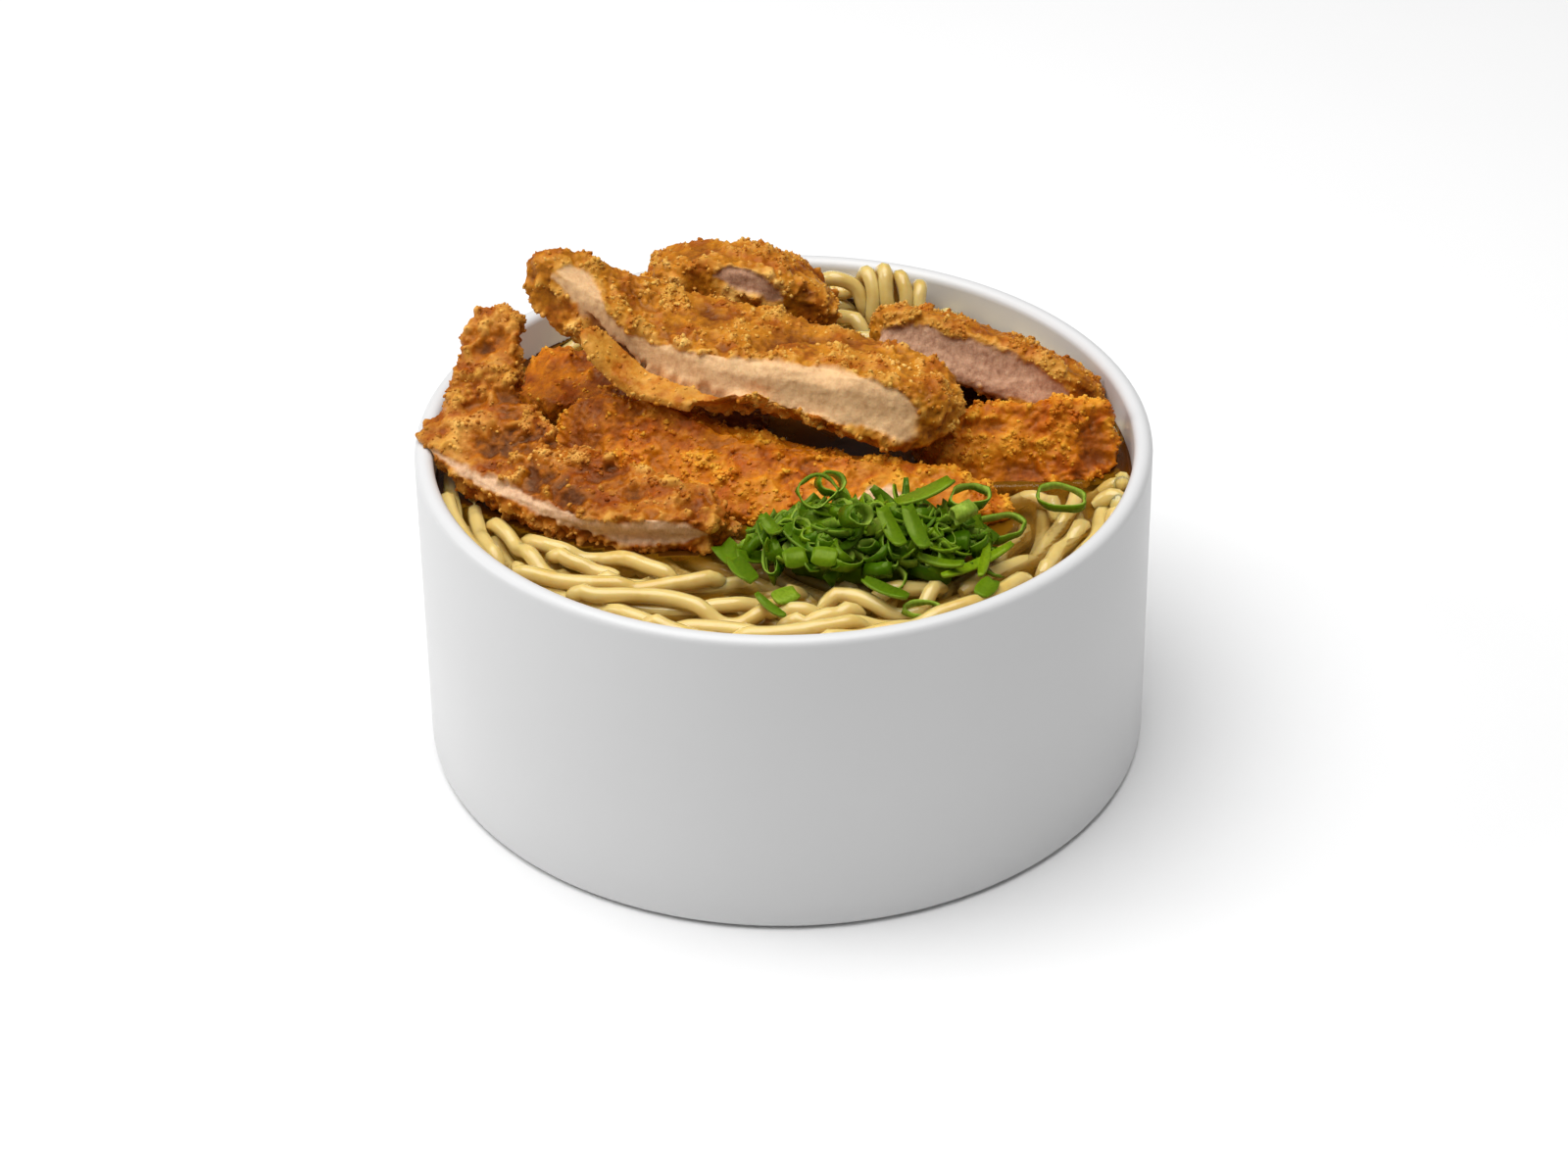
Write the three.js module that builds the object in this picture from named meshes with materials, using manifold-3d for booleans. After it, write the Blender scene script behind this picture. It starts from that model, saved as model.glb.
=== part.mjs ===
// A bowl of saimin: a straight-sided white bowl, clear broth, crinkly noodles,
// seven strips of breaded pork cutlet heaped above the rim and a pile of cut
// spring onion. Millimetres, +Z up, origin at the middle of the foot.

import * as THREE from "three";
import { mergeVertices } from "three/addons/utils/BufferGeometryUtils.js";
import Module from "manifold-3d";

const wasm = await Module();
wasm.setup();

// Driving dimensions of the bowl
const OUTER_RADIUS = 78;
const BOWL_HEIGHT = 72;
const WALL = 4;
const FLOOR = 6;
const FOOT_CORNER = 2.5;
const FOOT_RECESS_RADIUS = 66;
const FOOT_RECESS_DEPTH = 1.5;
const RIM_ROUND = 1.7;
const INSIDE_CORNER = 10;
const INNER_RADIUS = OUTER_RADIUS - WALL;
const BOWL_SEGMENTS = 40;

// Fill levels and clearances
const BROTH_LEVEL = 62;
const GAP = 0.4;
const TOUCH = 1e-3;

// The pork strips. at is the middle of the strip; lift and bow are how far its left and
// right ends rise and bend back; knee is where along the half length that bend starts;
// roll tips the crust towards the front and twist adds to it from left to right.
const CUTLETS = {
  katsu_1: {
    at: [-44, -16.5, 67.4], length: 69, width: 18, thick: 10,
    yaw: -28, pitch: -2, roll: 19, twist: -15,
    lift: [9, 0.5], bow: [8.5, 6.5], widthEnds: [1.5, 0.6], thickEnds: [0.4, 1.1],
    flare: 1.8, blunt: [20, 8],
  },
  katsu_2: {
    at: [-1, -10.5, 65], length: 100, width: 23, thick: 12,
    yaw: -11, pitch: -4, roll: 30, twist: -17,
    bow: [7, 2], widthEnds: [1.1, 0.4],
  },
  katsu_3: {
    at: [-8.2, 13.4, 83.3], length: 96, width: 28, thick: 12,
    yaw: -18, pitch: -7, roll: -2, twist: -9,
    lift: [13.5, 0], bow: [-5, -0.5], widthEnds: [0.3, 0.7], thickEnds: [1, 1.3],
    knee: [0.4, 0], bend: 1.3, flare: 1,
  },
  katsu_4: {
    at: [-9, 48, 80.3], length: 37, width: 20, thick: 16,
    yaw: -6, pitch: -4, roll: -12,
    lift: [-7.5, -10.5], widthEnds: [0.8, 0.8], thickEnds: [1.25, 1.25],
  },
  katsu_5: {
    at: [44.5, 30, 71.5], length: 54, width: 18, thick: 13.5,
    yaw: -18, pitch: -11, roll: -29,
    lift: [0, -1], bow: [0, -3], widthEnds: [0.8, 0.6], thickEnds: [0.9, 0.85],
  },
  katsu_6: {
    at: [50, 4, 64.2], length: 44, width: 20, thick: 12,
    yaw: 2, pitch: 4, roll: 48,
    widthEnds: [0.9, 0.85],
  },
  katsu_7: {
    at: [-30, 29, 62], length: 58, width: 18, thick: 11,
    yaw: -24, pitch: -2, roll: 6,
    lift: [1, 0], widthEnds: [0.9, 0.9],
  },
};
const STATION_SPACING = 5.2;
const STATIONS_DRAWN_TO_ENDS = 0.75;
const CRAG = 1;
const CRAG_WAVE = 1.7;
const LOBE_CRAG = 0.3;
const CUT_FACE_CRAG = 0.35;
const CUT_RECESS = 0.7;
const EDGE_ROUND = 2.2;
const THIN_EDGE = 0.3;
const END_SIZE = 0.1;
const CRUST_POINTS = [-0.44, -0.16, 0.16, 0.44];

// Lobes that are part of a strip: the crust that stands up at the left end of the first,
// and the loosened under-crust below the cut face of the top one
const LOBES = {
  katsu_1: {
    at: [-62.6, 11.8, 81.8], length: 28, width: 13.5, thick: 6,
    yaw: 76, pitch: 40, roll: 0, widthEnds: [1.2, 0.75],
  },
  katsu_3: {
    at: [-23, 3.2, 82.2], length: 42, width: 8, thick: 2.6,
    yaw: -19, pitch: -5, roll: 12,
    lift: [9, 1.5], widthEnds: [1, 1], knee: [0.3, 0.2], bend: 1.3,
  },
};

// Noodles
const NOODLE_RADIUS = 1.75;
const NOODLE_SIDES = 4;
const NOODLE_STEP = 4.5;
const NOODLE_COUNT = 13;
const NOODLE_REACH = 68.2;
const NOODLE_TRIES = 260;
const NOODLE_SEED = 29;
const NOODLE_BED = 62.6;
const NOODLE_ABOVE_BED = 0.8;
const NOODLE_CRINKLE = 2.9;
const NOODLE_BOB = 0.45;
const NOODLE_BOB_WAVE = 4.3;
const NOODLE_HELD = 0.08;

// The core below the noodles that show: radius and height up its side, and the shares of
// its radius at which its top has a ring of points
const CORE_RADIUS = 70.8;
const CORE_SIDE = [[54, FLOOR + GAP], [64, 14], [68, 32], [CORE_RADIUS, 55]];
const CORE_TOP = [1, 0.92, 0.8, 0.64, 0.44, 0.2];
const CORE_POINTS = 30;
const CORE_BULGE = 0.9;
const BED_BUMP = 0.5;
const BED_WAVE = 3.1;
const POOLS = [
  { at: [63, -21], radius: 7, depth: 3.4 },
  { at: [-50, 47], radius: 13, depth: 3.4 },
  { at: [-66, -19], radius: 7, depth: 3 },
];
const HUMPS = [
  { at: [22, 61], radius: 11, height: 8 },
  { at: [-9, 48], radius: 15, height: 3.5 },
];

// Spring onion
const ONION_WALL = 0.9;
const ONION_RING_SIDES = 8;
const ONION_STRIP_STEPS = 5;
const ONION_TAPER = 1.3;
const HEAP = { at: [17, -35], half: [27, 12], base: 63, height: 9 };
const HEAP_MOUND = 0.86;
const HEAP_SPREAD = 0.85;
const HEAP_RINGS = 8;
const HEAP_STRIPS = 5;
const HEAP_SEED = 7;
const DROP_STEP = 0.2;
const DROP_FROM = 78;

const COLOURS = {
  bowl: { color: 0xe9eaec, roughness: 0.35, metalness: 0 },
  broth: { color: 0xa8741f, roughness: 0.08, metalness: 0 },
  noodles: { color: 0xe6d08c, roughness: 0.35, metalness: 0 },
  katsu: { color: 0xb4682a, roughness: 0.7, metalness: 0 },
  onion: { color: 0x3f8a1e, roughness: 0.4, metalness: 0 },
};

// Small helpers
const GOLDEN_ANGLE = 2.39996;
const radians = (degrees) => (degrees * Math.PI) / 180;

// A seeded draw of numbers from 0 to 1
function draws(seed) {
  let state = seed;
  return () => {
    state = (state * 1664525 + 1013904223) % 4294967296;
    return state / 4294967296;
  };
}

// Smooth bumps from -1 to 1 with a wavelength of a few millimetres
function ripple(x, y, z, wave) {
  const a = Math.sin((x + 1.7 * z) / wave + 1.3 * Math.sin(y / wave));
  const b = Math.sin((y - 1.1 * x) / wave + 1.7 * Math.sin((z + 2 * x) / wave));
  const c = Math.sin((z * 1.3 + y * 0.8) / wave + 1.1 * Math.sin((x - z) / wave));
  return (a + b + c) / 3;
}

function solidOf(geometry) {
  const bare = geometry.clone();
  bare.deleteAttribute("normal");
  bare.deleteAttribute("uv");
  const merged = mergeVertices(bare, 1e-4);
  return new wasm.Manifold(
    new wasm.Mesh({
      numProp: 3,
      vertProperties: new Float32Array(merged.attributes.position.array),
      triVerts: new Uint32Array(merged.index.array),
    }),
  );
}

function geometryOf(solid) {
  const mesh = solid.getMesh();
  const geometry = new THREE.BufferGeometry();
  geometry.setAttribute("position", new THREE.BufferAttribute(mesh.vertProperties, 3));
  geometry.setIndex(new THREE.BufferAttribute(mesh.triVerts, 1));
  geometry.computeVertexNormals();
  return geometry;
}

// The largest body that a cut leaves
function largest(solid) {
  return solid.decompose().sort((a, b) => b.volume() - a.volume())[0];
}

function without(solid, others) {
  return largest(others.reduce((rest, other) => rest.subtract(other), solid));
}

// A closed surface from rings of points, each ring in the same order, capped at both ends
function lofted(rings) {
  const around = rings[0].length;
  const points = rings.flat();
  const faces = [];
  for (let i = 0; i < rings.length - 1; i++) {
    for (let j = 0; j < around; j++) {
      const a = i * around + j;
      const b = i * around + ((j + 1) % around);
      faces.push(a, b, b + around, a, b + around, a + around);
    }
  }
  for (const [ring, start] of [[rings[0], 0], [rings.at(-1), points.length - around]]) {
    const middle = new THREE.Vector3();
    ring.forEach((point) => middle.addScaledVector(point, 1 / around));
    const hub = points.push(middle) - 1;
    for (let j = 0; j < around; j++) {
      const next = start + ((j + 1) % around);
      if (start === 0) faces.push(hub, next, start + j);
      else faces.push(hub, start + j, next);
    }
  }
  const geometry = new THREE.BufferGeometry().setFromPoints(points);
  geometry.setIndex(faces);
  return geometry;
}

// A solid of revolution, from a profile that starts and ends on the axis
function turned(profile, segments) {
  const points = profile.map(([r, z]) => new THREE.Vector2(r, z));
  const geometry = new THREE.LatheGeometry(points, segments);
  geometry.rotateX(Math.PI / 2);
  return solidOf(geometry);
}

// Points of a quarter-round corner in a profile
function corner(r, z, radius, from, to, steps) {
  const made = [];
  for (let i = 0; i <= steps; i++) {
    const angle = radians(from + ((to - from) * i) / steps);
    made.push([r + radius * Math.cos(angle), z + radius * Math.sin(angle)]);
  }
  return made;
}

// The bowl; grow makes its wall thicker all round
function bowl(grow = 0) {
  const rimTop = BOWL_HEIGHT - RIM_ROUND;
  const rim = RIM_ROUND + grow;
  const inside = INSIDE_CORNER - grow;
  return turned([
    [0, FOOT_RECESS_DEPTH],
    [FOOT_RECESS_RADIUS, FOOT_RECESS_DEPTH],
    [FOOT_RECESS_RADIUS + 1, 0],
    ...corner(OUTER_RADIUS - FOOT_CORNER, FOOT_CORNER, FOOT_CORNER, -90, 0, 2),
    ...corner(OUTER_RADIUS - RIM_ROUND, rimTop, rim, 0, 90, 2),
    ...corner(INNER_RADIUS + RIM_ROUND, rimTop, rim, 90, 180, 2),
    ...corner(INNER_RADIUS - INSIDE_CORNER, FLOOR + INSIDE_CORNER, inside, 0, -90, 3),
    [0, FLOOR + grow],
  ], BOWL_SEGMENTS);
}

// One pork strip: rings of an outline with flat crusts, soft edges and slightly
// hollow cut faces, set along a spine that bends, twists and narrows
function ends([left, right], along, knee, power) {
  const leftShare = Math.max((-along - knee[0]) / (1 - knee[0]), 0) ** power;
  const rightShare = Math.max((along - knee[1]) / (1 - knee[1]), 0) ** power;
  return left * leftShare + right * rightShare;
}

function strip(spec, grow = 0, crag = CRAG) {
  const { length, width, thick, knee = [0, 0], bend = 1.8, twist = 0, flare = 1.5 } = spec;
  const { lift = [0, 0], bow = [0, 0], widthEnds, thickEnds = [1, 1], blunt = [8, 8] } = spec;
  const stations = Math.round(length / STATION_SPACING) + 3;
  const yaw = radians(spec.yaw);
  const pitch = radians(spec.pitch);
  const axis = new THREE.Vector3(
    Math.cos(yaw) * Math.cos(pitch), Math.sin(yaw) * Math.cos(pitch), Math.sin(pitch));
  const back = new THREE.Vector3(-Math.sin(yaw), Math.cos(yaw), 0);
  const up = new THREE.Vector3().crossVectors(axis, back);
  const spine = (along) => new THREE.Vector3(...spec.at)
    .addScaledVector(axis, (along * length) / 2)
    .addScaledVector(up, ends(lift, along, knee, bend))
    .addScaledVector(back, ends(bow, along, knee, bend));

  const edge = 0.5 - Math.min(EDGE_ROUND, THIN_EDGE * thick) / thick;
  const hollow = CUT_RECESS / width;
  const cutFace = [[0.5, edge], [0.5 - hollow, 0], [0.5, -edge]];
  const crust = CRUST_POINTS.map((u) => [u, 0.5]);
  const outline = [
    ...crust,
    ...cutFace,
    ...crust.map(([u, v]) => [-u, -v]),
    ...cutFace.map(([u, v]) => [-u, -v]),
  ].reverse();

  const rings = [];
  for (let i = 0; i < stations; i++) {
    const even = (2 * i) / (stations - 1) - 1;
    const along = THREE.MathUtils.lerp(even, Math.sin((even * Math.PI) / 2), STATIONS_DRAWN_TO_ENDS);
    const here = spine(along);
    const tangent = spine(along + 0.02).sub(spine(along - 0.02)).normalize();
    const roll = radians(spec.roll + twist * along);
    const across = back.clone().multiplyScalar(Math.cos(roll)).addScaledVector(up, Math.sin(roll));
    across.addScaledVector(tangent, -across.dot(tangent)).normalize();
    const normal = new THREE.Vector3().crossVectors(tangent, across);
    const side = along < 0 ? 0 : 1;
    const rounded = Math.sqrt(Math.max(1 - Math.abs(along) ** blunt[side], 0));
    const cap = END_SIZE + (1 - END_SIZE) * rounded;
    const share = Math.abs(along) ** flare;
    const wide = width * cap * (1 + (widthEnds[side] - 1) * share);
    const deep = thick * cap * (1 + (thickEnds[side] - 1) * Math.abs(along));
    rings.push(outline.map(([u, v]) => {
      const point = here.clone()
        .addScaledVector(across, u * wide)
        .addScaledVector(normal, v * deep);
      const rough = Math.abs(v) === 0.5 ? crag : crag * CUT_FACE_CRAG;
      const bump = rough * ripple(point.x, point.y, point.z, CRAG_WAVE) * cap;
      return point
        .addScaledVector(across, u * (bump + 2 * grow))
        .addScaledVector(normal, 2 * v * (bump + grow))
        .addScaledVector(tangent, grow * Math.sign(along) * Math.abs(along) ** 6);
    }));
  }
  return solidOf(lofted(rings));
}

function cutlet(name, grow = 0) {
  const whole = strip(CUTLETS[name], grow);
  return LOBES[name] ? whole.add(strip(LOBES[name], grow, LOBE_CRAG)) : whole;
}

// The noodle core: a rounded mass on the bowl's floor with an uneven top
function bedHeight(x, y) {
  let height = NOODLE_BED + BED_BUMP * ripple(x, y, 0, BED_WAVE);
  for (const { at, radius, depth } of POOLS) {
    const far = Math.hypot(x - at[0], y - at[1]) / radius;
    height -= depth * Math.exp(-(far ** 4));
  }
  for (const { at, radius, height: tall } of HUMPS) {
    const far = Math.hypot(x - at[0], y - at[1]) / radius;
    height += tall * Math.exp(-(far ** 2));
  }
  return height;
}

function noodleCore(grow = 0) {
  const sweep = (radius, lift) => Array.from({ length: CORE_POINTS }, (_, j) => {
    const angle = (2 * Math.PI * j) / CORE_POINTS;
    const reach = radius * (1 + (CORE_BULGE / CORE_RADIUS) * Math.sin(5 * angle + 1));
    const x = reach * Math.cos(angle);
    const y = reach * Math.sin(angle);
    const wider = 1 + grow / radius;
    return new THREE.Vector3(x * wider, y * wider, lift(x, y));
  });
  const side = CORE_SIDE.map(([radius, z], i) => sweep(radius, () => (i === 0 ? z - grow : z)));
  const top = CORE_TOP.map((share) =>
    sweep(CORE_RADIUS * share, (x, y) => bedHeight(x, y) + grow));
  return solidOf(lofted([...side, ...top]));
}

// One crinkled noodle lying round the bowl
function noodle({ angle, radius, span, drift, wave, phase, layer }, grow = 0) {
  const steps = Math.round(span / NOODLE_STEP);
  const points = [];
  for (let i = 0; i <= steps; i++) {
    const run = (span + 2 * grow) * (i / steps - 0.5);
    const theta = angle + run / radius;
    const swing = wave * Math.sin(phase + run / NOODLE_CRINKLE);
    const reach = Math.min(radius + (drift * run) / span + swing, NOODLE_REACH);
    const x = reach * Math.cos(theta);
    const y = reach * Math.sin(theta);
    const bob = NOODLE_BOB * Math.sin(phase * 2 + run / NOODLE_BOB_WAVE);
    points.push(new THREE.Vector3(x, y, bedHeight(x, y) + NOODLE_ABOVE_BED + layer + bob));
  }
  const thick = NOODLE_RADIUS + grow / Math.cos(Math.PI / NOODLE_SIDES);
  const section = new THREE.Shape(Array.from({ length: NOODLE_SIDES }, (_, j) => {
    const turn = (2 * Math.PI * j) / NOODLE_SIDES;
    return new THREE.Vector2(thick * Math.cos(turn), thick * Math.sin(turn));
  }));
  return solidOf(new THREE.ExtrudeGeometry(section, {
    steps,
    extrudePath: new THREE.CatmullRomCurve3(points),
  }));
}

// Noodles for the top of the core, where they are clear of everything else
function looseNoodles(core, obstacles) {
  const draw = draws(NOODLE_SEED);
  const kept = [];
  for (let i = 0; i < NOODLE_TRIES && kept.length < NOODLE_COUNT; i++) {
    const spec = {
      angle: i * GOLDEN_ANGLE,
      radius: 38 + 30 * draw(),
      span: 38 + 20 * draw(),
      drift: 18 * (draw() - 0.5),
      wave: 0.8 + 1.3 * draw(),
      phase: 6.3 * draw(),
      layer: 1.3 * draw(),
    };
    const candidate = noodle(spec, GAP);
    const clear = obstacles.every((other) => candidate.intersect(other).volume() < TOUCH);
    const held = candidate.intersect(core).volume() > NOODLE_HELD * candidate.volume();
    if (clear && held) {
      kept.push(spec);
    }
  }
  return kept;
}

// Everything inside the bowl up to the broth's level, a little clear of the wall
function broth() {
  const inner = INSIDE_CORNER - GAP;
  return turned([
    [0, FLOOR + GAP],
    ...corner(INNER_RADIUS - INSIDE_CORNER, FLOOR + INSIDE_CORNER, inner, -90, 0, 3),
    [INNER_RADIUS - GAP, BROTH_LEVEL],
    [0, BROTH_LEVEL],
  ], BOWL_SEGMENTS);
}

// Spring onion: a cut ring, and a curled strip of leaf
function onionRing({ at, radius, tall, tilt, turn, squeeze = 1 }) {
  const hole = radius - ONION_WALL;
  const half = tall / 2;
  const outer = [[hole, -half], [radius, -half], [radius, half], [hole, half], [hole, -half]];
  const profile = outer.map(([r, z]) => new THREE.Vector2(r, z));
  const geometry = new THREE.LatheGeometry(profile, ONION_RING_SIDES);
  geometry.rotateX(Math.PI / 2);
  geometry.scale(1, squeeze, 1);
  geometry.rotateX(radians(tilt));
  geometry.rotateZ(radians(turn));
  geometry.translate(...at);
  return solidOf(geometry);
}

function onionStrip({ at, length, width, thick = ONION_WALL, turn, tilt, curl }) {
  const rings = [];
  for (let i = 0; i <= ONION_STRIP_STEPS; i++) {
    const t = i / ONION_STRIP_STEPS - 0.5;
    const taper = 1 - ONION_TAPER * t * t;
    const rise = curl * t * t;
    rings.push([[-1, -1], [1, -1], [1, 1], [-1, 1]].map(([u, v]) =>
      new THREE.Vector3(t * length, (u * width * taper) / 2, rise + (v * thick) / 2)));
  }
  const geometry = lofted(rings);
  geometry.rotateX(radians(tilt));
  geometry.rotateZ(radians(turn));
  geometry.translate(...at);
  return solidOf(geometry);
}

function onionHeap() {
  const draw = draws(HEAP_SEED);
  const [across, along] = HEAP.half;
  const mound = new THREE.SphereGeometry(1, 10, 6);
  mound.scale(across * HEAP_MOUND, along * HEAP_MOUND, HEAP.height);
  mound.translate(...HEAP.at, HEAP.base);
  const under = new THREE.BoxGeometry(4 * across, 4 * along, 20);
  under.translate(...HEAP.at, HEAP.base - 10);
  let made = solidOf(mound).subtract(solidOf(under));
  const spot = (share, i) => {
    const angle = i * GOLDEN_ANGLE;
    const x = HEAP.at[0] + across * share * Math.cos(angle);
    const y = HEAP.at[1] + along * share * Math.sin(angle);
    return [x, y, HEAP.base + HEAP.height * Math.sqrt(1 - share * share * 0.9)];
  };
  for (let i = 0; i < HEAP_RINGS; i++) {
    made = made.add(onionRing({
      at: spot(Math.sqrt((i + 0.5) / HEAP_RINGS) * HEAP_SPREAD, i),
      radius: 2.6 + 2.2 * draw(),
      tall: 2.4 + 1.6 * draw(),
      tilt: 15 + 60 * draw(),
      turn: 360 * draw(),
      squeeze: 0.6 + 0.4 * draw(),
    }));
  }
  for (let i = 0; i < HEAP_STRIPS; i++) {
    made = made.add(onionStrip({
      at: spot(0.3 + 0.4 * draw(), i + 0.5),
      length: 9 + 6 * draw(),
      width: 3 + 2 * draw(),
      turn: 360 * draw(),
      tilt: 50 * (draw() - 0.5),
      curl: 3 * draw(),
    }));
  }
  return made;
}

// Lowers a small piece until it rests just clear of what lies below
function settle(piece, ground) {
  let rest = piece;
  for (let drop = 0; drop < DROP_FROM - BROTH_LEVEL; drop += DROP_STEP) {
    const lower = piece.translate([0, 0, -drop]);
    if (ground.some((other) => lower.intersect(other).volume() > TOUCH)) {
      return rest;
    }
    rest = lower;
  }
  return rest;
}

// Loose pieces of spring onion, let down onto the noodles from above
const LOOSE_ONIONS = {
  onion_leaf_left: () => onionStrip({
    at: [-11, -35, DROP_FROM], length: 8, width: 5, turn: -60, tilt: 12, curl: 0.5 }),
  onion_leaf_front: () => onionStrip({
    at: [-9, -46, DROP_FROM], length: 9, width: 4.5, turn: -65, tilt: -10, curl: 1 }),
  onion_shred_front: () => onionStrip({
    at: [-3, -58.5, DROP_FROM], length: 10, width: 1.8, turn: -55, tilt: 6, curl: 0.8 }),
  onion_leaf_middle: () => onionStrip({
    at: [20, -53.5, DROP_FROM], length: 11, width: 3.6, turn: -38, tilt: -8, curl: 0.8 }),
  onion_ring_right: () => onionRing({
    at: [44.5, -29.5, DROP_FROM], radius: 5.5, tall: 1.8, tilt: 8, turn: 10, squeeze: 0.7 }),
  onion_shreds_right: () => onionStrip({
    at: [39, -44, DROP_FROM], length: 19, width: 2.2, turn: 38, tilt: 8, curl: 1.2,
  }).add(onionStrip({
    at: [41, -44, DROP_FROM + 0.5], length: 12, width: 2, turn: 80, tilt: -6, curl: 1 })),
  onion_ring_wall: () => onionRing({
    at: [57.5, -20, DROP_FROM], radius: 6, tall: 2, tilt: 14, turn: -25, squeeze: 0.55 }),
};

// Putting it together
const solids = { bowl: bowl() };

// Upper strips keep their shape; what lies under or behind them is cut clear of them
const order = ["katsu_3", "katsu_1", "katsu_6", "katsu_2", "katsu_5", "katsu_4", "katsu_7"];
const widerBowl = bowl(GAP);
const grown = [];
for (const name of order) {
  solids[name] = without(cutlet(name), [...grown, widerBowl]);
  grown.push(cutlet(name, GAP));
}

const soup = broth();
const core = without(noodleCore(), grown);
const specs = looseNoodles(core, [...grown, soup.subtract(noodleCore()), solids.bowl]);
solids.noodles = largest(specs.reduce((made, spec) => made.add(noodle(spec)), core));
const widerCore = noodleCore(GAP);
solids.broth = without(soup, [widerCore, ...grown]);
const widerNoodles = specs.reduce((made, spec) => made.add(noodle(spec, GAP)), widerCore);

solids.onion_heap = without(onionHeap(), [...grown, widerNoodles]);
const ground = [...grown, widerNoodles, onionHeap()];
for (const [name, make] of Object.entries(LOOSE_ONIONS)) {
  solids[name] = settle(make(), ground);
  ground.push(solids[name]);
}

const part = new THREE.Group();
for (const [name, solid] of Object.entries(solids)) {
  const finish = COLOURS[name.split("_")[0]];
  const mesh = new THREE.Mesh(geometryOf(solid), new THREE.MeshStandardMaterial(finish));
  mesh.name = name;
  part.add(mesh);
}

export default part;
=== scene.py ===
"""A bowl of saimin with breaded pork strips and spring onion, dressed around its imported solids."""

import math
import random

import bmesh
import bpy
import numpy as np
from bpy.props import FloatProperty, FloatVectorProperty, IntProperty, PointerProperty
from bpy.types import Operator, Panel, PropertyGroup
from mathutils import Matrix, Vector, noise
from mathutils.bvhtree import BVHTree


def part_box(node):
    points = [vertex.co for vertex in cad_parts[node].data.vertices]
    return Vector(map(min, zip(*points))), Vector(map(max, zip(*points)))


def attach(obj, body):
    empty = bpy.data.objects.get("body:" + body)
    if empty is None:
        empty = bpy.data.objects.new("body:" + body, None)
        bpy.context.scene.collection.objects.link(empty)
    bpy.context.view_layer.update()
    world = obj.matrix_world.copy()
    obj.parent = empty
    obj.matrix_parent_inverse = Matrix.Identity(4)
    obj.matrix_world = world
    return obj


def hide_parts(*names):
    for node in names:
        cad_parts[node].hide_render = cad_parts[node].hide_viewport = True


bl_info = {
    "name": "Saimin Bowl",
    "version": (1, 0, 0),
    "blender": (4, 5, 0),
    "location": "View3D > Sidebar > Saimin",
    "description": "Makes a bowl of saimin with breaded pork strips and spring onion",
    "category": "Add Mesh",
}

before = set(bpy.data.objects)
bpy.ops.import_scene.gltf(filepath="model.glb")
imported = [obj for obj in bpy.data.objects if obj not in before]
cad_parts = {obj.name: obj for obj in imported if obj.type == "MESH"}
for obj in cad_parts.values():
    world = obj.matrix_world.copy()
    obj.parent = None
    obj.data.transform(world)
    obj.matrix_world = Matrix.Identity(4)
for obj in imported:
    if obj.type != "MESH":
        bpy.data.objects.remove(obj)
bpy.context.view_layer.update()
MM = 0.001

# The bowl and the broth, from their solids
BOWL_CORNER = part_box("bowl")[1]
BOWL_RADIUS = BOWL_CORNER.x
BOWL_HEIGHT = BOWL_CORNER.z
BROTH_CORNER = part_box("broth")[1]
BROTH_LEVEL = BROTH_CORNER.z
INNER_RADIUS = BROTH_CORNER.x + 0.4 * MM

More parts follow.
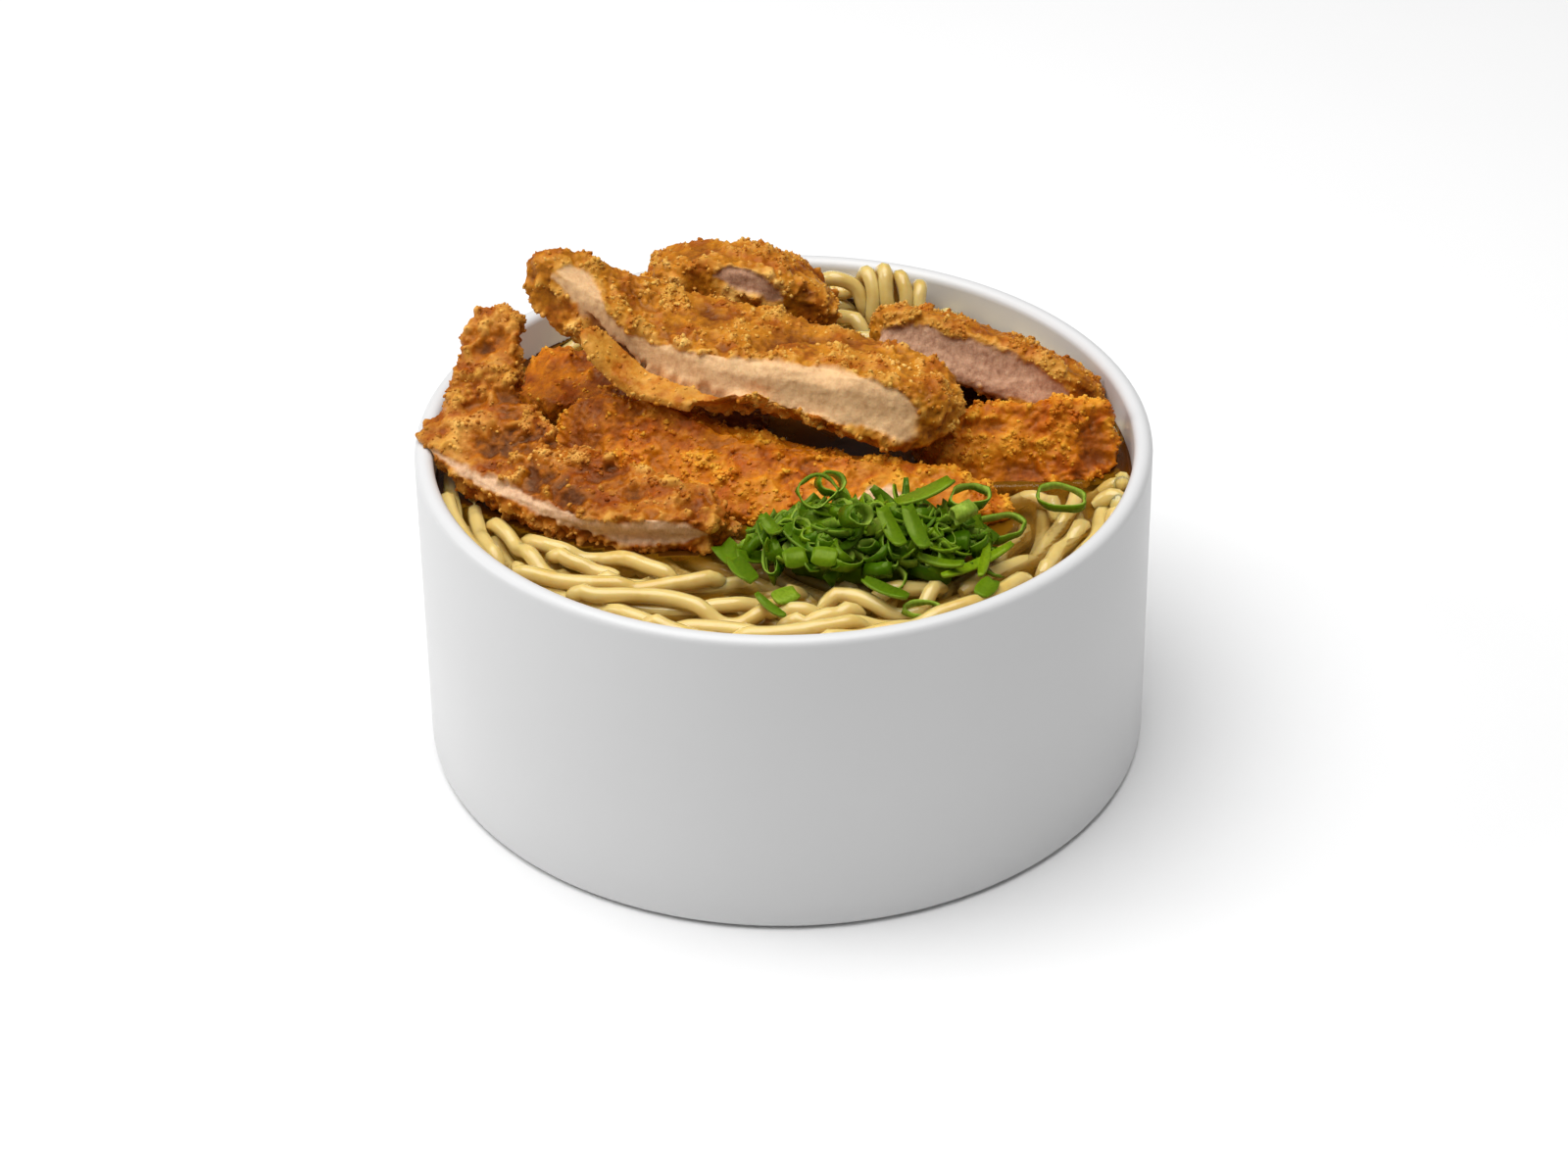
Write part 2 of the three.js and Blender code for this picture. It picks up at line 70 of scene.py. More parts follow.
# The pork strips as they lie, in millimetres and degrees: the middle of each strip and how its
# spine runs, where its left and right ends rise (lift) and bend back (bow), how far along its
# half length that bend starts (knee), how it rolls and twists, and how its ends widen and
# thicken. A bare band is cooked pork that shows: at places along the strip, its low and high
# edge, measured up the front face from its lower corner and on over the top. A chamfer cuts
# that lower corner away where a gap shows below the strip, and a nick the upper corner at the
# back. A bulge brings the front face forwards, and a lean only its lower part. The line of
# light and toast is how pale (above 0) or dark the crust is made at places along the strip:
# partly its tone, and partly painted light and shade, as on the raised left end of katsu_1 and
# the right end of katsu_7 below katsu_3. A skin is the stretch where the coating below the band
# has come loose, smooth and pale, with a crease above it that is darkened with painted shade.
# Places along a strip go from -1 at its left end to 1 at its right.
STRIPS = {
    "katsu_1": {
        "at": (-44, -16.5, 67.4), "length": 69, "width": 18, "thick": 10, "yaw": -28,
        "pitch": -2, "roll": 19, "twist": -15, "lift": (9, 0.5), "bow": (8.5, 6.5),
        "wide_ends": (1.5, 0.6), "thick_ends": (0.4, 1.1), "flare": 1.8, "rough": 1.3,
        "shade": "rustic", "flesh": "rosy",
        "light_and_toast": ((-1, 0.3), (-0.72, 0.2), (-0.5, -0.4), (0, -0.5), (0.4, 0), (1, 0.3)),
        "bare": ((-0.95, 7.3, 7.7), (-0.67, 6.7, 8.9), (-0.35, 8.5, 11.8), (0, 7.6, 12.0),
                 (0.25, 5.4, 10.2), (0.42, 4.2, 9.4), (0.62, 4.2, 10.6), (0.81, 4.8, 9.6),
                 (0.92, 6.8, 7.4)),
    },
    "katsu_2": {
        "at": (-1, -10.5, 65), "length": 100, "width": 23, "thick": 12, "yaw": -11,
        "pitch": -4, "roll": 30, "twist": -17, "bow": (7, 2), "wide_ends": (1.1, 0.4),
        "rough": 0.8, "shade": "amber", "flesh": "rosy",
        "light_and_toast": ((-1, -0.3), (-0.6, 0.1), (0.1, 0.1), (0.4, 0.6), (1, 0.4)),
        "nick": ((-0.5, 0), (-0.3, 5), (0.2, 6), (0.42, 3), (0.6, 0)),
        "bare": ((0.34, 18, 18.4), (0.4, 15.5, 21.5), (0.48, 16, 21.8), (0.55, 18.6, 19)),
    },
    "katsu_3": {
        "at": (-8.2, 13.4, 83.3), "length": 96, "width": 28, "thick": 12, "yaw": -18,
        "pitch": -7, "roll": -2, "twist": -9, "lift": (13.5, 0), "bow": (-5, -0.5),
        "wide_ends": (0.3, 0.7), "thick_ends": (1, 1.3), "knee": (0.4, 0), "bend": 1.3,
        "flare": 1, "rough": 0.95, "shade": "golden", "flesh": "pale",
        "chamfer": ((-0.10, 0), (0.04, 3.6), (0.15, 6.0), (0.5, 5.0), (0.78, 0)), "lean": 2.8,
        "skin": (-0.68, 0.02),
        "bare": ((-0.87, 10.2, 10.8), (-0.81, 9.8, 16.5), (-0.73, 8.6, 18.4),
                 (-0.66, 7.0, 16.5), (-0.59, 6.2, 11.6), (-0.52, 5.6, 10.6),
                 (-0.38, 4.9, 10.2), (-0.2, 4.6, 11.6), (0.13, 5.4, 15.5), (0.44, 4.9, 18.3),
                 (0.75, 4.3, 14.2), (0.87, 4.6, 11.2), (0.94, 6.8, 8.0)),
    },
    "katsu_4": {
        "at": (-9, 48, 80.3), "length": 37, "width": 20, "thick": 16, "yaw": -6,
        "pitch": -4, "roll": -12, "lift": (-7.5, -10.5), "wide_ends": (0.8, 0.8),
        "thick_ends": (1.25, 1.25), "rough": 1.1, "shade": "golden", "flesh": "mauve",
        "bare": ((-0.3, 14.2, 14.6), (-0.1, 12, 16.5), (0.1, 10.8, 16.2), (0.35, 11.2, 15),
                 (0.56, 12.8, 13.2)),
    },
    "katsu_5": {
        "at": (44.5, 30, 71.5), "length": 54, "width": 18, "thick": 13.5, "yaw": -18,
        "pitch": -11, "roll": -29, "lift": (0, -1), "bow": (0, -3), "wide_ends": (0.8, 0.6),
        "thick_ends": (0.9, 0.85), "rough": 0.85, "shade": "golden", "flesh": "mauve",
        "bare": ((-0.86, 5, 8), (-0.63, 1.2, 9.6), (-0.05, 1.3, 10.4), (0.45, 1.6, 9.6),
                 (0.73, 3.2, 7.2), (0.81, 5, 5.6)),
    },
    "katsu_6": {
        "at": (50, 4, 64.2), "length": 44, "width": 20, "thick": 12, "yaw": 2, "pitch": 4,
        "roll": 48, "rough": 1.1, "shade": "amber", "flesh": "mauve",
    },
    "katsu_7": {
        "at": (-30, 29, 62), "length": 58, "width": 18, "thick": 11, "yaw": -24,
        "pitch": -2, "roll": 6, "lift": (1, 0), "rough": 0.9, "shade": "amber",
        "flesh": "rosy", "light_and_toast": ((-1, 0.3), (-0.4, -0.5), (1, -0.8)),
        "bulge": ((-1, 1), (-0.85, 5), (-0.5, 6), (-0.1, 3), (0.1, 0)),
    },
}
ONION_NODES = ("onion_leaf_left", "onion_leaf_front", "onion_shred_front", "onion_leaf_middle",
               "onion_ring_right", "onion_shreds_right", "onion_ring_wall")

# Linear colours of the crust's hollows, darkened as painted shade, its flanks and its crumb tips
CRUST_SHADES = {
    "golden": ((0.17, 0.038, 0.002), (0.50, 0.172, 0.006), (0.78, 0.43, 0.080)),
    "amber": ((0.18, 0.034, 0.001), (0.55, 0.150, 0.001), (0.82, 0.39, 0.030)),
    "rustic": ((0.10, 0.020, 0.001), (0.38, 0.098, 0.001), (0.70, 0.34, 0.050)),
}

# Linear colours of the cut pork and of its fibres, and how the fibres slope in degrees
FLESH_SHADES = {
    "pale": ((0.86, 0.55, 0.28), (0.68, 0.38, 0.18)),
    "rosy": ((0.82, 0.53, 0.32), (0.54, 0.31, 0.18)),
    "mauve": ((0.68, 0.40, 0.25), (0.36, 0.16, 0.09)),
}
FIBRE_ANGLES = {"pale": -28, "rosy": -28, "mauve": 48}


# Settings that a user would change

class SaiminBowlSettings(PropertyGroup):
    wall: FloatProperty(
        name="Wall", description="Thickness of the bowl's wall", default=4 * MM, unit="LENGTH")
    rim: FloatProperty(
        name="Rim Rounding", description="Radius of the rim's edges", default=1.8 * MM,
        unit="LENGTH")
    glaze: FloatVectorProperty(
        name="Glaze", description="Colour of the glaze", default=(0.72, 0.72, 0.72),
        size=3, subtype="COLOR", min=0, max=1)


class SaiminNoodleSettings(PropertyGroup):
    radius: FloatProperty(
        name="Radius", description="Half a noodle's thickness", default=1.7 * MM,
        unit="LENGTH")
    count: IntProperty(
        name="Tries", description="How many noodles are laid down in turn", default=7000)
    seed: IntProperty(name="Seed", description="Which heap of noodles is laid", default=4)
    colour: FloatVectorProperty(
        name="Colour", description="Colour of a cooked noodle", default=(0.74, 0.555, 0.195),
        size=3, subtype="COLOR", min=0, max=1)


class SaiminBrothSettings(PropertyGroup):
    meniscus: FloatProperty(
        name="Meniscus", description="How far the broth climbs where it touches",
        default=0.9 * MM, unit="LENGTH")
    colour: FloatVectorProperty(
        name="Colour", description="Colour of the broth", default=(0.22, 0.095, 0.004),
        size=3, subtype="COLOR", min=0, max=1)


class SaiminPorkSettings(PropertyGroup):
    detail: FloatProperty(
        name="Detail", description="Distance between the points of the crust's mesh",
        default=0.42 * MM, unit="LENGTH")
    crag: FloatProperty(
        name="Crag", description="Height of the crust's crags", default=1.0 * MM,
        unit="LENGTH")
    crumbs: FloatProperty(
        name="Crumbs", description="Loose crumbs for every thousand points of crust",
        default=30)
    seed: IntProperty(name="Seed", description="Where the crumbs fall", default=11)


class SaiminOnionSettings(PropertyGroup):
    pieces: IntProperty(
        name="Pieces", description="How many cut pieces lie on the heap", default=150)
    wall: FloatProperty(
        name="Wall", description="Thickness of a leaf", default=0.5 * MM, unit="LENGTH")
    seed: IntProperty(name="Seed", description="How the heap falls", default=5)
    leaf: FloatVectorProperty(
        name="Leaf", description="Colour of the leaf's outside", default=(0.042, 0.110, 0.001),
        size=3, subtype="COLOR", min=0, max=1)


class SaiminStageSettings(PropertyGroup):
    floor: FloatVectorProperty(
        name="Floor", description="Colour of the floor", default=(0.95, 0.95, 0.95),
        size=3, subtype="COLOR", min=0, max=1)
    key: FloatProperty(
        name="Key Light", description="Power of the main light", default=2.55, unit="POWER")
    fill: FloatProperty(
        name="Top Light", description="Power of the broad light overhead", default=19,
        unit="POWER")
    sky: FloatProperty(
        name="Sky", description="Strength of the light from all round", default=0.14)


# Small helpers

def smoothstep(low, high, value):
    """How far a value has come from low to high, eased at both ends."""
    share = min(max((value - low) / (high - low), 0.0), 1.0)
    return share * share * (3 - 2 * share)


def turn(yaw=0.0, pitch=0.0, roll=0.0):
    """A rotation from angles in degrees: roll about X, then pitch about Y, then yaw about Z."""
    return (Matrix.Rotation(math.radians(yaw), 4, "Z")
            @ Matrix.Rotation(math.radians(pitch), 4, "Y")
            @ Matrix.Rotation(math.radians(roll), 4, "X"))


def in_scene(name, data):
    """A new object at the origin, linked to the scene."""
    made = bpy.data.objects.new(name, data)
    bpy.context.scene.collection.objects.link(made)
    return made


def mesh_from(name, bm):
    """A mesh from a bmesh, which is used up."""
    mesh = bpy.data.meshes.new(name)
    bm.to_mesh(mesh)
    bm.free()
    return mesh


def piece_of(name, mesh, material):
    """A smooth object at the origin in one material."""
    piece = in_scene(name, mesh)
    mesh.materials.clear()
    mesh.materials.append(material)
    mesh.polygons.foreach_set("use_smooth", [True] * len(mesh.polygons))
    return piece


def dress(piece, slot, *nodes):
    """Puts a piece on the part's body, in place of the nodes named."""
    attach(piece, "root")
    if nodes:
        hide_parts(*nodes)


def write_values(mesh, name, values):
    """Stores one number for each point of a mesh."""
    mesh.attributes.new(name, "FLOAT", "POINT").data.foreach_set("value", values)


def read_values(mesh, name):
    """The numbers stored under that name, one for each point of a mesh."""
    values = np.zeros(len(mesh.vertices), np.float32)
    mesh.attributes[name].data.foreach_get("value", values)
    return values


def read_vectors(mesh, key):
    """Where the points of a mesh are, or their normals, one row for each."""
    vectors = np.zeros(len(mesh.vertices) * 3, np.float32)
    mesh.vertices.foreach_get(key, vectors)
    return vectors.reshape(-1, 3)


def node_mesh(*names):
    """A bmesh of CAD nodes with their loose triangles joined."""
    bm = bmesh.new()
    for name in names:
        bm.from_mesh(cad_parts[name].data)
    bmesh.ops.remove_doubles(bm, verts=bm.verts, dist=0.005 * MM)
    bm.normal_update()
    return bm


def node_tree(*names):
    """A search tree of CAD nodes."""
    bm = node_mesh(*names)
    tree = BVHTree.FromBMesh(bm)
    bm.free()
    return tree


def piece_tree(*names):
    """A search tree of finished pieces."""
    bm = bmesh.new()
    for name in names:
        bm.from_mesh(bpy.data.objects[name].data)
    tree = BVHTree.FromBMesh(bm)
    bm.free()
    return tree


def extruded(bm, edges):
    """The new points and edges of a row of edges extruded once."""
    made = bmesh.ops.extrude_edge_only(bm, edges=edges)["geom"]
    verts = [item for item in made if isinstance(item, bmesh.types.BMVert)]
    return verts, [item for item in made if isinstance(item, bmesh.types.BMEdge)]


def frozen(piece):
    """A piece's mesh with its modifiers applied; the piece itself is removed."""
    graph = bpy.context.evaluated_depsgraph_get()
    mesh = bpy.data.meshes.new_from_object(piece.evaluated_get(graph), depsgraph=graph)
    bpy.data.objects.remove(piece)
    return mesh


# Shader nodes

class Graph:
    """Adds shader nodes to a tree and links them."""

    def __init__(self, tree):
        self.tree = tree

    def add(self, kind, inputs=None, **settings):
        """A node with its settings, its inputs set or linked."""
        node = self.tree.nodes.new(kind)
        for name, value in settings.items():
            setattr(node, name, value)
        for key, value in (inputs or {}).items():
            if isinstance(value, bpy.types.NodeSocket):
                self.tree.links.new(value, node.inputs[key])
            else:
                node.inputs[key].default_value = value
        return node

    def math(self, operation, first, second):
        return self.add("ShaderNodeMath", {0: first, 1: second}, operation=operation).outputs[0]

    def mix(self, share, first, second, blend="MIX"):
        """A colour between two others."""
        node = self.add("ShaderNodeMix", {0: share, 6: first, 7: second},
                        data_type="RGBA", blend_type=blend)
        return node.outputs[2]

    def between(self, value, low, high, to_low=0.0, to_high=1.0):
        """A value eased from one range to another."""
        node = self.add("ShaderNodeMapRange", {
            "Value": value, "From Min": low, "From Max": high,
            "To Min": to_low, "To Max": to_high}, interpolation_type="SMOOTHSTEP")
        return node.outputs["Result"]

    def ramp(self, value, stops):
        """A colour for a value, from (place, colour) stops."""
        node = self.add("ShaderNodeValToRGB", {0: value})
        elements = node.color_ramp.elements
        while len(elements) < len(stops):
            elements.new(0.5)
        for element, (place, colour) in zip(elements, stops):
            element.position = place
            element.color = (*colour, 1)
        return node.outputs[0]

    def stored(self, name):
        """What the mesh stores under that name."""
        return self.add("ShaderNodeAttribute", attribute_name=name).outputs["Fac"]

    def place(self, scale=(1, 1, 1), rotation=(0, 0, 0)):
        """Object coordinates, scaled and turned."""
        source = self.add("ShaderNodeTexCoord").outputs["Object"]
        mapping = self.add("ShaderNodeMapping", {
            "Vector": source, "Rotation": tuple(math.radians(a) for a in rotation),
            "Scale": scale})
        return mapping.outputs[0]

    def noise(self, size, detail=2.0, place=None, roughness=0.5):
        """Noise whose lumps are about size metres wide."""
        where = place or self.place()
        node = self.add("ShaderNodeTexNoise", {
            "Vector": where, "Scale": 1 / size, "Detail": detail, "Roughness": roughness})
        return node.outputs["Fac"]


def rgba(colour):
    return (*colour[:3], 1.0)


def shared_group(name, inputs, outputs):
    """An empty shader node group with its sockets, or None where it has been made before."""
    if name in bpy.data.node_groups:
        return None
    tree = bpy.data.node_groups.new(name, "ShaderNodeTree")
    for socket, kind, value in inputs:
        made = tree.interface.new_socket(name=socket, in_out="INPUT", socket_type=kind)
        made.default_value = value
    for socket, kind in outputs:
        tree.interface.new_socket(name=socket, in_out="OUTPUT", socket_type=kind)
    return tree


# How soft the edges of mottled patches are, as a share of the noise's range
PATCH_EDGE = 0.09


def mottle_group():
    """Two tones that change over in soft patches, with finer ones inside them."""
    tree = shared_group(
        "Mottle",
        [("Tone", "NodeSocketColor", (0.8, 0.8, 0.8, 1)),
         ("Patch", "NodeSocketColor", (0.4, 0.4, 0.4, 1)),
         ("Frequency", "NodeSocketFloat", 100.0),
         ("Share", "NodeSocketFloat", 0.5)],
        [("Colour", "NodeSocketColor")])
    if tree:
        graph = Graph(tree)
        given = graph.add("NodeGroupInput").outputs
        where = graph.add("ShaderNodeTexCoord").outputs["Object"]
        wide = graph.add("ShaderNodeTexNoise", {
            "Vector": where, "Scale": given["Frequency"], "Detail": 4.0, "Roughness": 0.6})
        edge = graph.math("SUBTRACT", 1.0, given["Share"])
        near = graph.math("ADD", edge, PATCH_EDGE)
        far = graph.math("SUBTRACT", edge, PATCH_EDGE)
        mask = graph.between(wide.outputs["Fac"], far, near)
        colour = graph.mix(mask, given["Tone"], given["Patch"])
        graph.add("NodeGroupOutput", {"Colour": colour})
    return bpy.data.node_groups["Mottle"]


def grain_group():
    """Fine height detail from two sizes of noise."""
    tree = shared_group(
        "Fine Grain",
        [("Frequency", "NodeSocketFloat", 1000.0), ("Coarse", "NodeSocketFloat", 0.5)],
        [("Height", "NodeSocketFloat")])
    if tree:
        graph = Graph(tree)
        given = graph.add("NodeGroupInput").outputs
        where = graph.add("ShaderNodeTexCoord").outputs["Object"]
        fine = graph.add("ShaderNodeTexNoise", {
            "Vector": where, "Scale": given["Frequency"], "Detail": 3.0})
        lower = graph.math("MULTIPLY", given["Frequency"], 0.3)
        coarse = graph.add("ShaderNodeTexNoise", {"Vector": where, "Scale": lower, "Detail": 2.0})
        weighted = graph.math("MULTIPLY", coarse.outputs["Fac"], given["Coarse"])
        graph.add("NodeGroupOutput", {"Height": graph.math("ADD", fine.outputs["Fac"], weighted)})
    return bpy.data.node_groups["Fine Grain"]


def new_material(name):
    material = bpy.data.materials.new(name)
    material.use_nodes = True
    material.node_tree.nodes.clear()
    return material, Graph(material.node_tree)


def finish_material(graph, inputs):
    shader = graph.add("ShaderNodeBsdfPrincipled", inputs)
    graph.add("ShaderNodeOutputMaterial", {"Surface": shader.outputs[0]})


def mottled(graph, tone, patch, size, share):
    """A tone with patches of another, about size metres wide, over a share of the surface."""
    node = graph.add("ShaderNodeGroup", node_tree=mottle_group())
    for key, value in (("Tone", tone), ("Patch", patch)):
        if isinstance(value, bpy.types.NodeSocket):
            graph.tree.links.new(value, node.inputs[key])
        else:
            node.inputs[key].default_value = rgba(value)
    node.inputs["Frequency"].default_value = 1 / size
    node.inputs["Share"].default_value = share
    return node.outputs["Colour"]


def bumped(graph, size, height, coarse=0.5):
    """A normal roughened by grain of that size and height in metres."""
    node = graph.add("ShaderNodeGroup", node_tree=grain_group())
    node.inputs["Frequency"].default_value = 1 / size
    node.inputs["Coarse"].default_value = coarse
    bump = graph.add("ShaderNodeBump", {
        "Strength": 1.0, "Distance": height, "Height": node.outputs[0]})
    return bump.outputs[0]


# Materials

# Linear colour of the young inside of a spring onion
HEART_GREEN = (0.30, 0.42, 0.05)


def tinted(colour, shares):
    """A colour with each of its channels times a share."""
    return [value * share for value, share in zip(colour, shares)]


def glaze_material(settings):
    """White glaze with faint clouds."""
    material, graph = new_material("white_glaze")
    cloud = graph.between(graph.noise(45 * MM, detail=1), 0.2, 0.8)
    colour = graph.mix(cloud, rgba(settings.glaze), rgba([c * 0.985 for c in settings.glaze]))
    finish_material(graph, {
        "Base Color": colour, "Roughness": graph.between(cloud, 0.0, 1.0, 0.30, 0.36),
        "IOR": 1.45, "Normal": bumped(graph, 4 * MM, 0.004 * MM)})
    return material


def crust_material(shade, flesh):
    """Breadcrumb crust over cooked pork, with painted shade in its hollows; the mesh stores its
    relief and cuts.
    """
    material, graph = new_material(f"breaded_{shade}_{flesh}")
    deep, middle, tip = CRUST_SHADES[shade]
    lit, fibre = FLESH_SHADES[flesh]
    relief = graph.stored("relief")
    tone = graph.stored("tone")
    # The colour follows the relief: painted shade in the hollows and in the crease, stored as low
    # relief
    lifted = graph.math("ADD", relief, graph.math("MULTIPLY", tone, 0.35))
    speckle = graph.math("SUBTRACT", graph.noise(1.6 * MM, detail=4, roughness=0.7), 0.5)
    level = graph.math("ADD", lifted, graph.math("MULTIPLY", speckle, 0.45))
    rust = tinted(middle, (0.78, 0.56, 0.5))
    crust = graph.ramp(level, [(0.08, deep), (0.42, middle), (0.95, tip)])
    toasted = graph.ramp(level, [(0.12, deep), (0.50, rust), (1.0, middle)])
    patch = mottled(graph, crust, toasted, 7 * MM, 0.45)
    pale = graph.mix(1.0, patch, rgba((1.22, 1.34, 2.0)), "MULTIPLY")
    coloured = mottled(graph, patch, pale, 10 * MM, 0.45)
    across = graph.place(scale=(1, 1, 0.4), rotation=(0, FIBRE_ANGLES[flesh], 0))
    strands = graph.noise(1.3 * MM, detail=4, place=across, roughness=0.7)
    meat = graph.mix(graph.between(strands, 0.32, 0.80), rgba(lit), rgba(fibre))
    meat = mottled(graph, meat, [c * 0.95 for c in lit], 7 * MM, 0.35)
    colour = graph.mix(graph.stored("cut"), coloured, meat)
    shine = graph.between(graph.noise(4 * MM, detail=3), 0.35, 0.65, 0.38, 0.62)
    finish_material(graph, {
        "Base Color": colour, "Roughness": shine, "IOR": 1.38,
        "Specular Tint": (1.0, 0.80, 0.50, 1.0),
        "Subsurface Weight": 0.15, "Subsurface Radius": (1.0, 0.45, 0.2),
        "Subsurface Scale": 1.2 * MM,
        "Normal": bumped(graph, 0.5 * MM, 0.10 * MM, coarse=1.0)})
    return material


def noodle_material(name, tone):
    """Wet cooked dough, a little darker in patches."""
    material, graph = new_material(name)
    colour = mottled(graph, tone, tinted(tone, (0.93, 0.86, 0.66)), 9 * MM, 0.45)
    shine = graph.between(graph.noise(3 * MM), 0.3, 0.7, 0.16, 0.26)
    finish_material(graph, {
        "Base Color": colour, "Roughness": shine,
        "IOR": 1.4, "Coat Weight": 0.55, "Coat Roughness": 0.06,
        "Subsurface Weight": 0.65, "Subsurface Radius": (1.0, 0.75, 0.35),
        "Subsurface Scale": 2.6 * MM,
        "Normal": bumped(graph, 1.2 * MM, 0.05 * MM, coarse=0.8)})
    return material


def broth_material(settings):
    """A clear amber surface that hides more where the broth is deeper; below a strip it is dark with
    painted shade.
    """
    material, graph = new_material("clear_broth")
    depth = graph.stored("depth")
    # Darker and nearly opaque where the depth is full: deep broth, and painted shade under a strip
    shaded = tinted(settings.colour, (0.4, 0.25, 0.2))
    colour = graph.mix(graph.between(depth, 0.8, 1.0), rgba(settings.colour), rgba(shaded))
    finish_material(graph, {
        "Base Color": colour, "Roughness": graph.between(depth, 0.9, 1.0, 0.06, 0.25),
        "IOR": 1.36, "Alpha": graph.between(depth, 0.0, 1.0, 0.12, 0.95),
        "Specular Tint": (1.0, 0.85, 0.6, 1.0), "Normal": bumped(graph, 6 * MM, 0.03 * MM)})
    return material


def onion_material(settings):
    """Moist leaf, from dark to bright green outside and yellower where it is young."""
    material, graph = new_material("spring_onion")
    leaf = rgba(settings.leaf)
    outer = graph.mix(graph.stored("tone"), leaf, rgba(tinted(settings.leaf, (4.4, 2.6, 3.0))))
    colour = graph.mix(graph.stored("young"), outer, rgba(HEART_GREEN))
    veins = graph.noise(0.7 * MM, detail=2, place=graph.place(scale=(1, 1, 0.3)))
    colour = graph.mix(graph.between(veins, 0.4, 0.7, 0.0, 0.3), colour, leaf)
    finish_material(graph, {
        "Base Color": colour, "Roughness": 0.26, "IOR": 1.40,
        "Specular Tint": (0.80, 0.95, 0.25, 1.0),
        "Subsurface Weight": 0.25, "Subsurface Radius": (0.4, 1.0, 0.2),
        "Subsurface Scale": 0.8 * MM,
        "Normal": bumped(graph, 0.6 * MM, 0.03 * MM)})
    return material


def floor_material(settings):
    """A matt pale floor with hardly any pattern."""
    material, graph = new_material("pale_floor")
    colour = mottled(graph, settings.floor, [c * 0.99 for c in settings.floor], 0.4, 0.5)
    finish_material(graph, {"Base Color": colour, "Roughness": 0.85})
    return material


# Stage

# The camera: the photograph's width and focal length in pixels, what it looks at and from
# where, its roll in degrees and the sensor's width in millimetres
PHOTO_WIDTH = 1600
FOCAL_PIXELS = 4288
AIM = Vector((-0.29, 0, 32.6)) * MM
EYE = Vector((-0.289, -756.08, 539.92)) * MM
CAMERA_ROLL = -0.77
SENSOR = 36

# The lights' places and widths and the floor's half width, in metres
KEY_PLACE = (-0.95, 0.05, 0.55)
KEY_SIZE = 0.6
TOP_PLACE = (-0.15, -0.04, 1.22)
TOP_SIZE = 1.4
LIGHT_AIM = (0, 0, 50 * MM)
FLOOR_HALF = 3.0


def look(place, aim):
    """The turn that points a camera or a light from its place to its aim."""
    return (Vector(aim) - Vector(place)).to_track_quat("-Z", "Y").to_matrix().to_4x4()


def make_camera():
    """The camera of the photograph, fitted to the bowl's rim and base."""
    data = bpy.data.cameras.new("photo_camera")
    data.sensor_width = SENSOR
    data.lens = FOCAL_PIXELS * SENSOR / PHOTO_WIDTH
    data.clip_start = 0.01
    camera = in_scene("photo_camera", data)
    camera.matrix_world = (Matrix.Translation(EYE) @ look(EYE, AIM)
                           @ Matrix.Rotation(math.radians(CAMERA_ROLL), 4, "Z"))
    bpy.context.scene.camera = camera


def make_light(name, place, size, power):
    """A round soft light that faces the bowl."""
    data = bpy.data.lights.new(name, "AREA")
    data.shape = "DISK"
    data.size = size
    data.energy = power
    in_scene(name, data).matrix_world = Matrix.Translation(place) @ look(place, LIGHT_AIM)


def make_sky(strength):
    """An even white light from all round."""
    world = bpy.data.worlds.new("sky")
    world.use_nodes = True
    background = world.node_tree.nodes["Background"]
    background.inputs["Color"].default_value = (1, 1, 1, 1)
    background.inputs["Strength"].default_value = strength
    bpy.context.scene.world = world


class SAIMIN_OT_stage(Operator):
    """Makes the floor, the lights, the sky and the camera"""

    bl_idname = "saimin.stage"
    bl_label = "Stage"

    def execute(self, context):
        settings = context.scene.saimin_stage
        bm = bmesh.new()
        bmesh.ops.create_grid(bm, x_segments=8, y_segments=8, size=FLOOR_HALF)
        floor = piece_of("floor", mesh_from("floor", bm), floor_material(settings))
        make_light("key_light", KEY_PLACE, KEY_SIZE, settings.key)
        make_light("top_light", TOP_PLACE, TOP_SIZE, settings.fill)
        make_sky(settings.sky)
        context.scene.view_settings.view_transform = "Standard"
        make_camera()
        return {"FINISHED"}


# Bowl

FLOOR_THICK = 6 * MM
RECESS_RADIUS = 66 * MM
RECESS_DEEP = 1.5 * MM
FOOT_CORNER = 2.5 * MM
INSIDE_CORNER = 10 * MM
BOWL_STEPS = 160

# Points of a turned shape that are nearer than this are one
JOINED = 0.01 * MM


def turned(profile, steps, closed=False):
    """A full turn round Z of an outline of (radius, height) points, its seams merged."""
    bm = bmesh.new()
    line = [bm.verts.new((radius, 0, height)) for radius, height in profile]
    ends = line[1:] + line[:1] if closed else line[1:]
    edges = [bm.edges.new(pair) for pair in zip(line, ends)]
    bmesh.ops.spin(bm, geom=line + edges, cent=(0, 0, 0), axis=(0, 0, 1), steps=steps,
                   angle=math.tau, use_merge=True)
    bmesh.ops.remove_doubles(bm, verts=bm.verts, dist=JOINED)
    bmesh.ops.recalc_face_normals(bm, faces=bm.faces)
    return bm


def ring_edges(bm, radius, height):
    """The edges of a turned mesh that lie on one circle."""
    def on_ring(vert):
        far = abs(math.hypot(vert.co.x, vert.co.y) - radius)
        return far < JOINED and abs(vert.co.z - height) < JOINED
    return [edge for edge in bm.edges if all(on_ring(vert) for vert in edge.verts)]


def round_ring(bm, radius, height, rounding, segments):
    """Rounds one turned corner."""
    bmesh.ops.bevel(bm, geom=ring_edges(bm, radius, height), offset=rounding,
                    affect="EDGES", segments=segments, profile=0.5, material=-1)


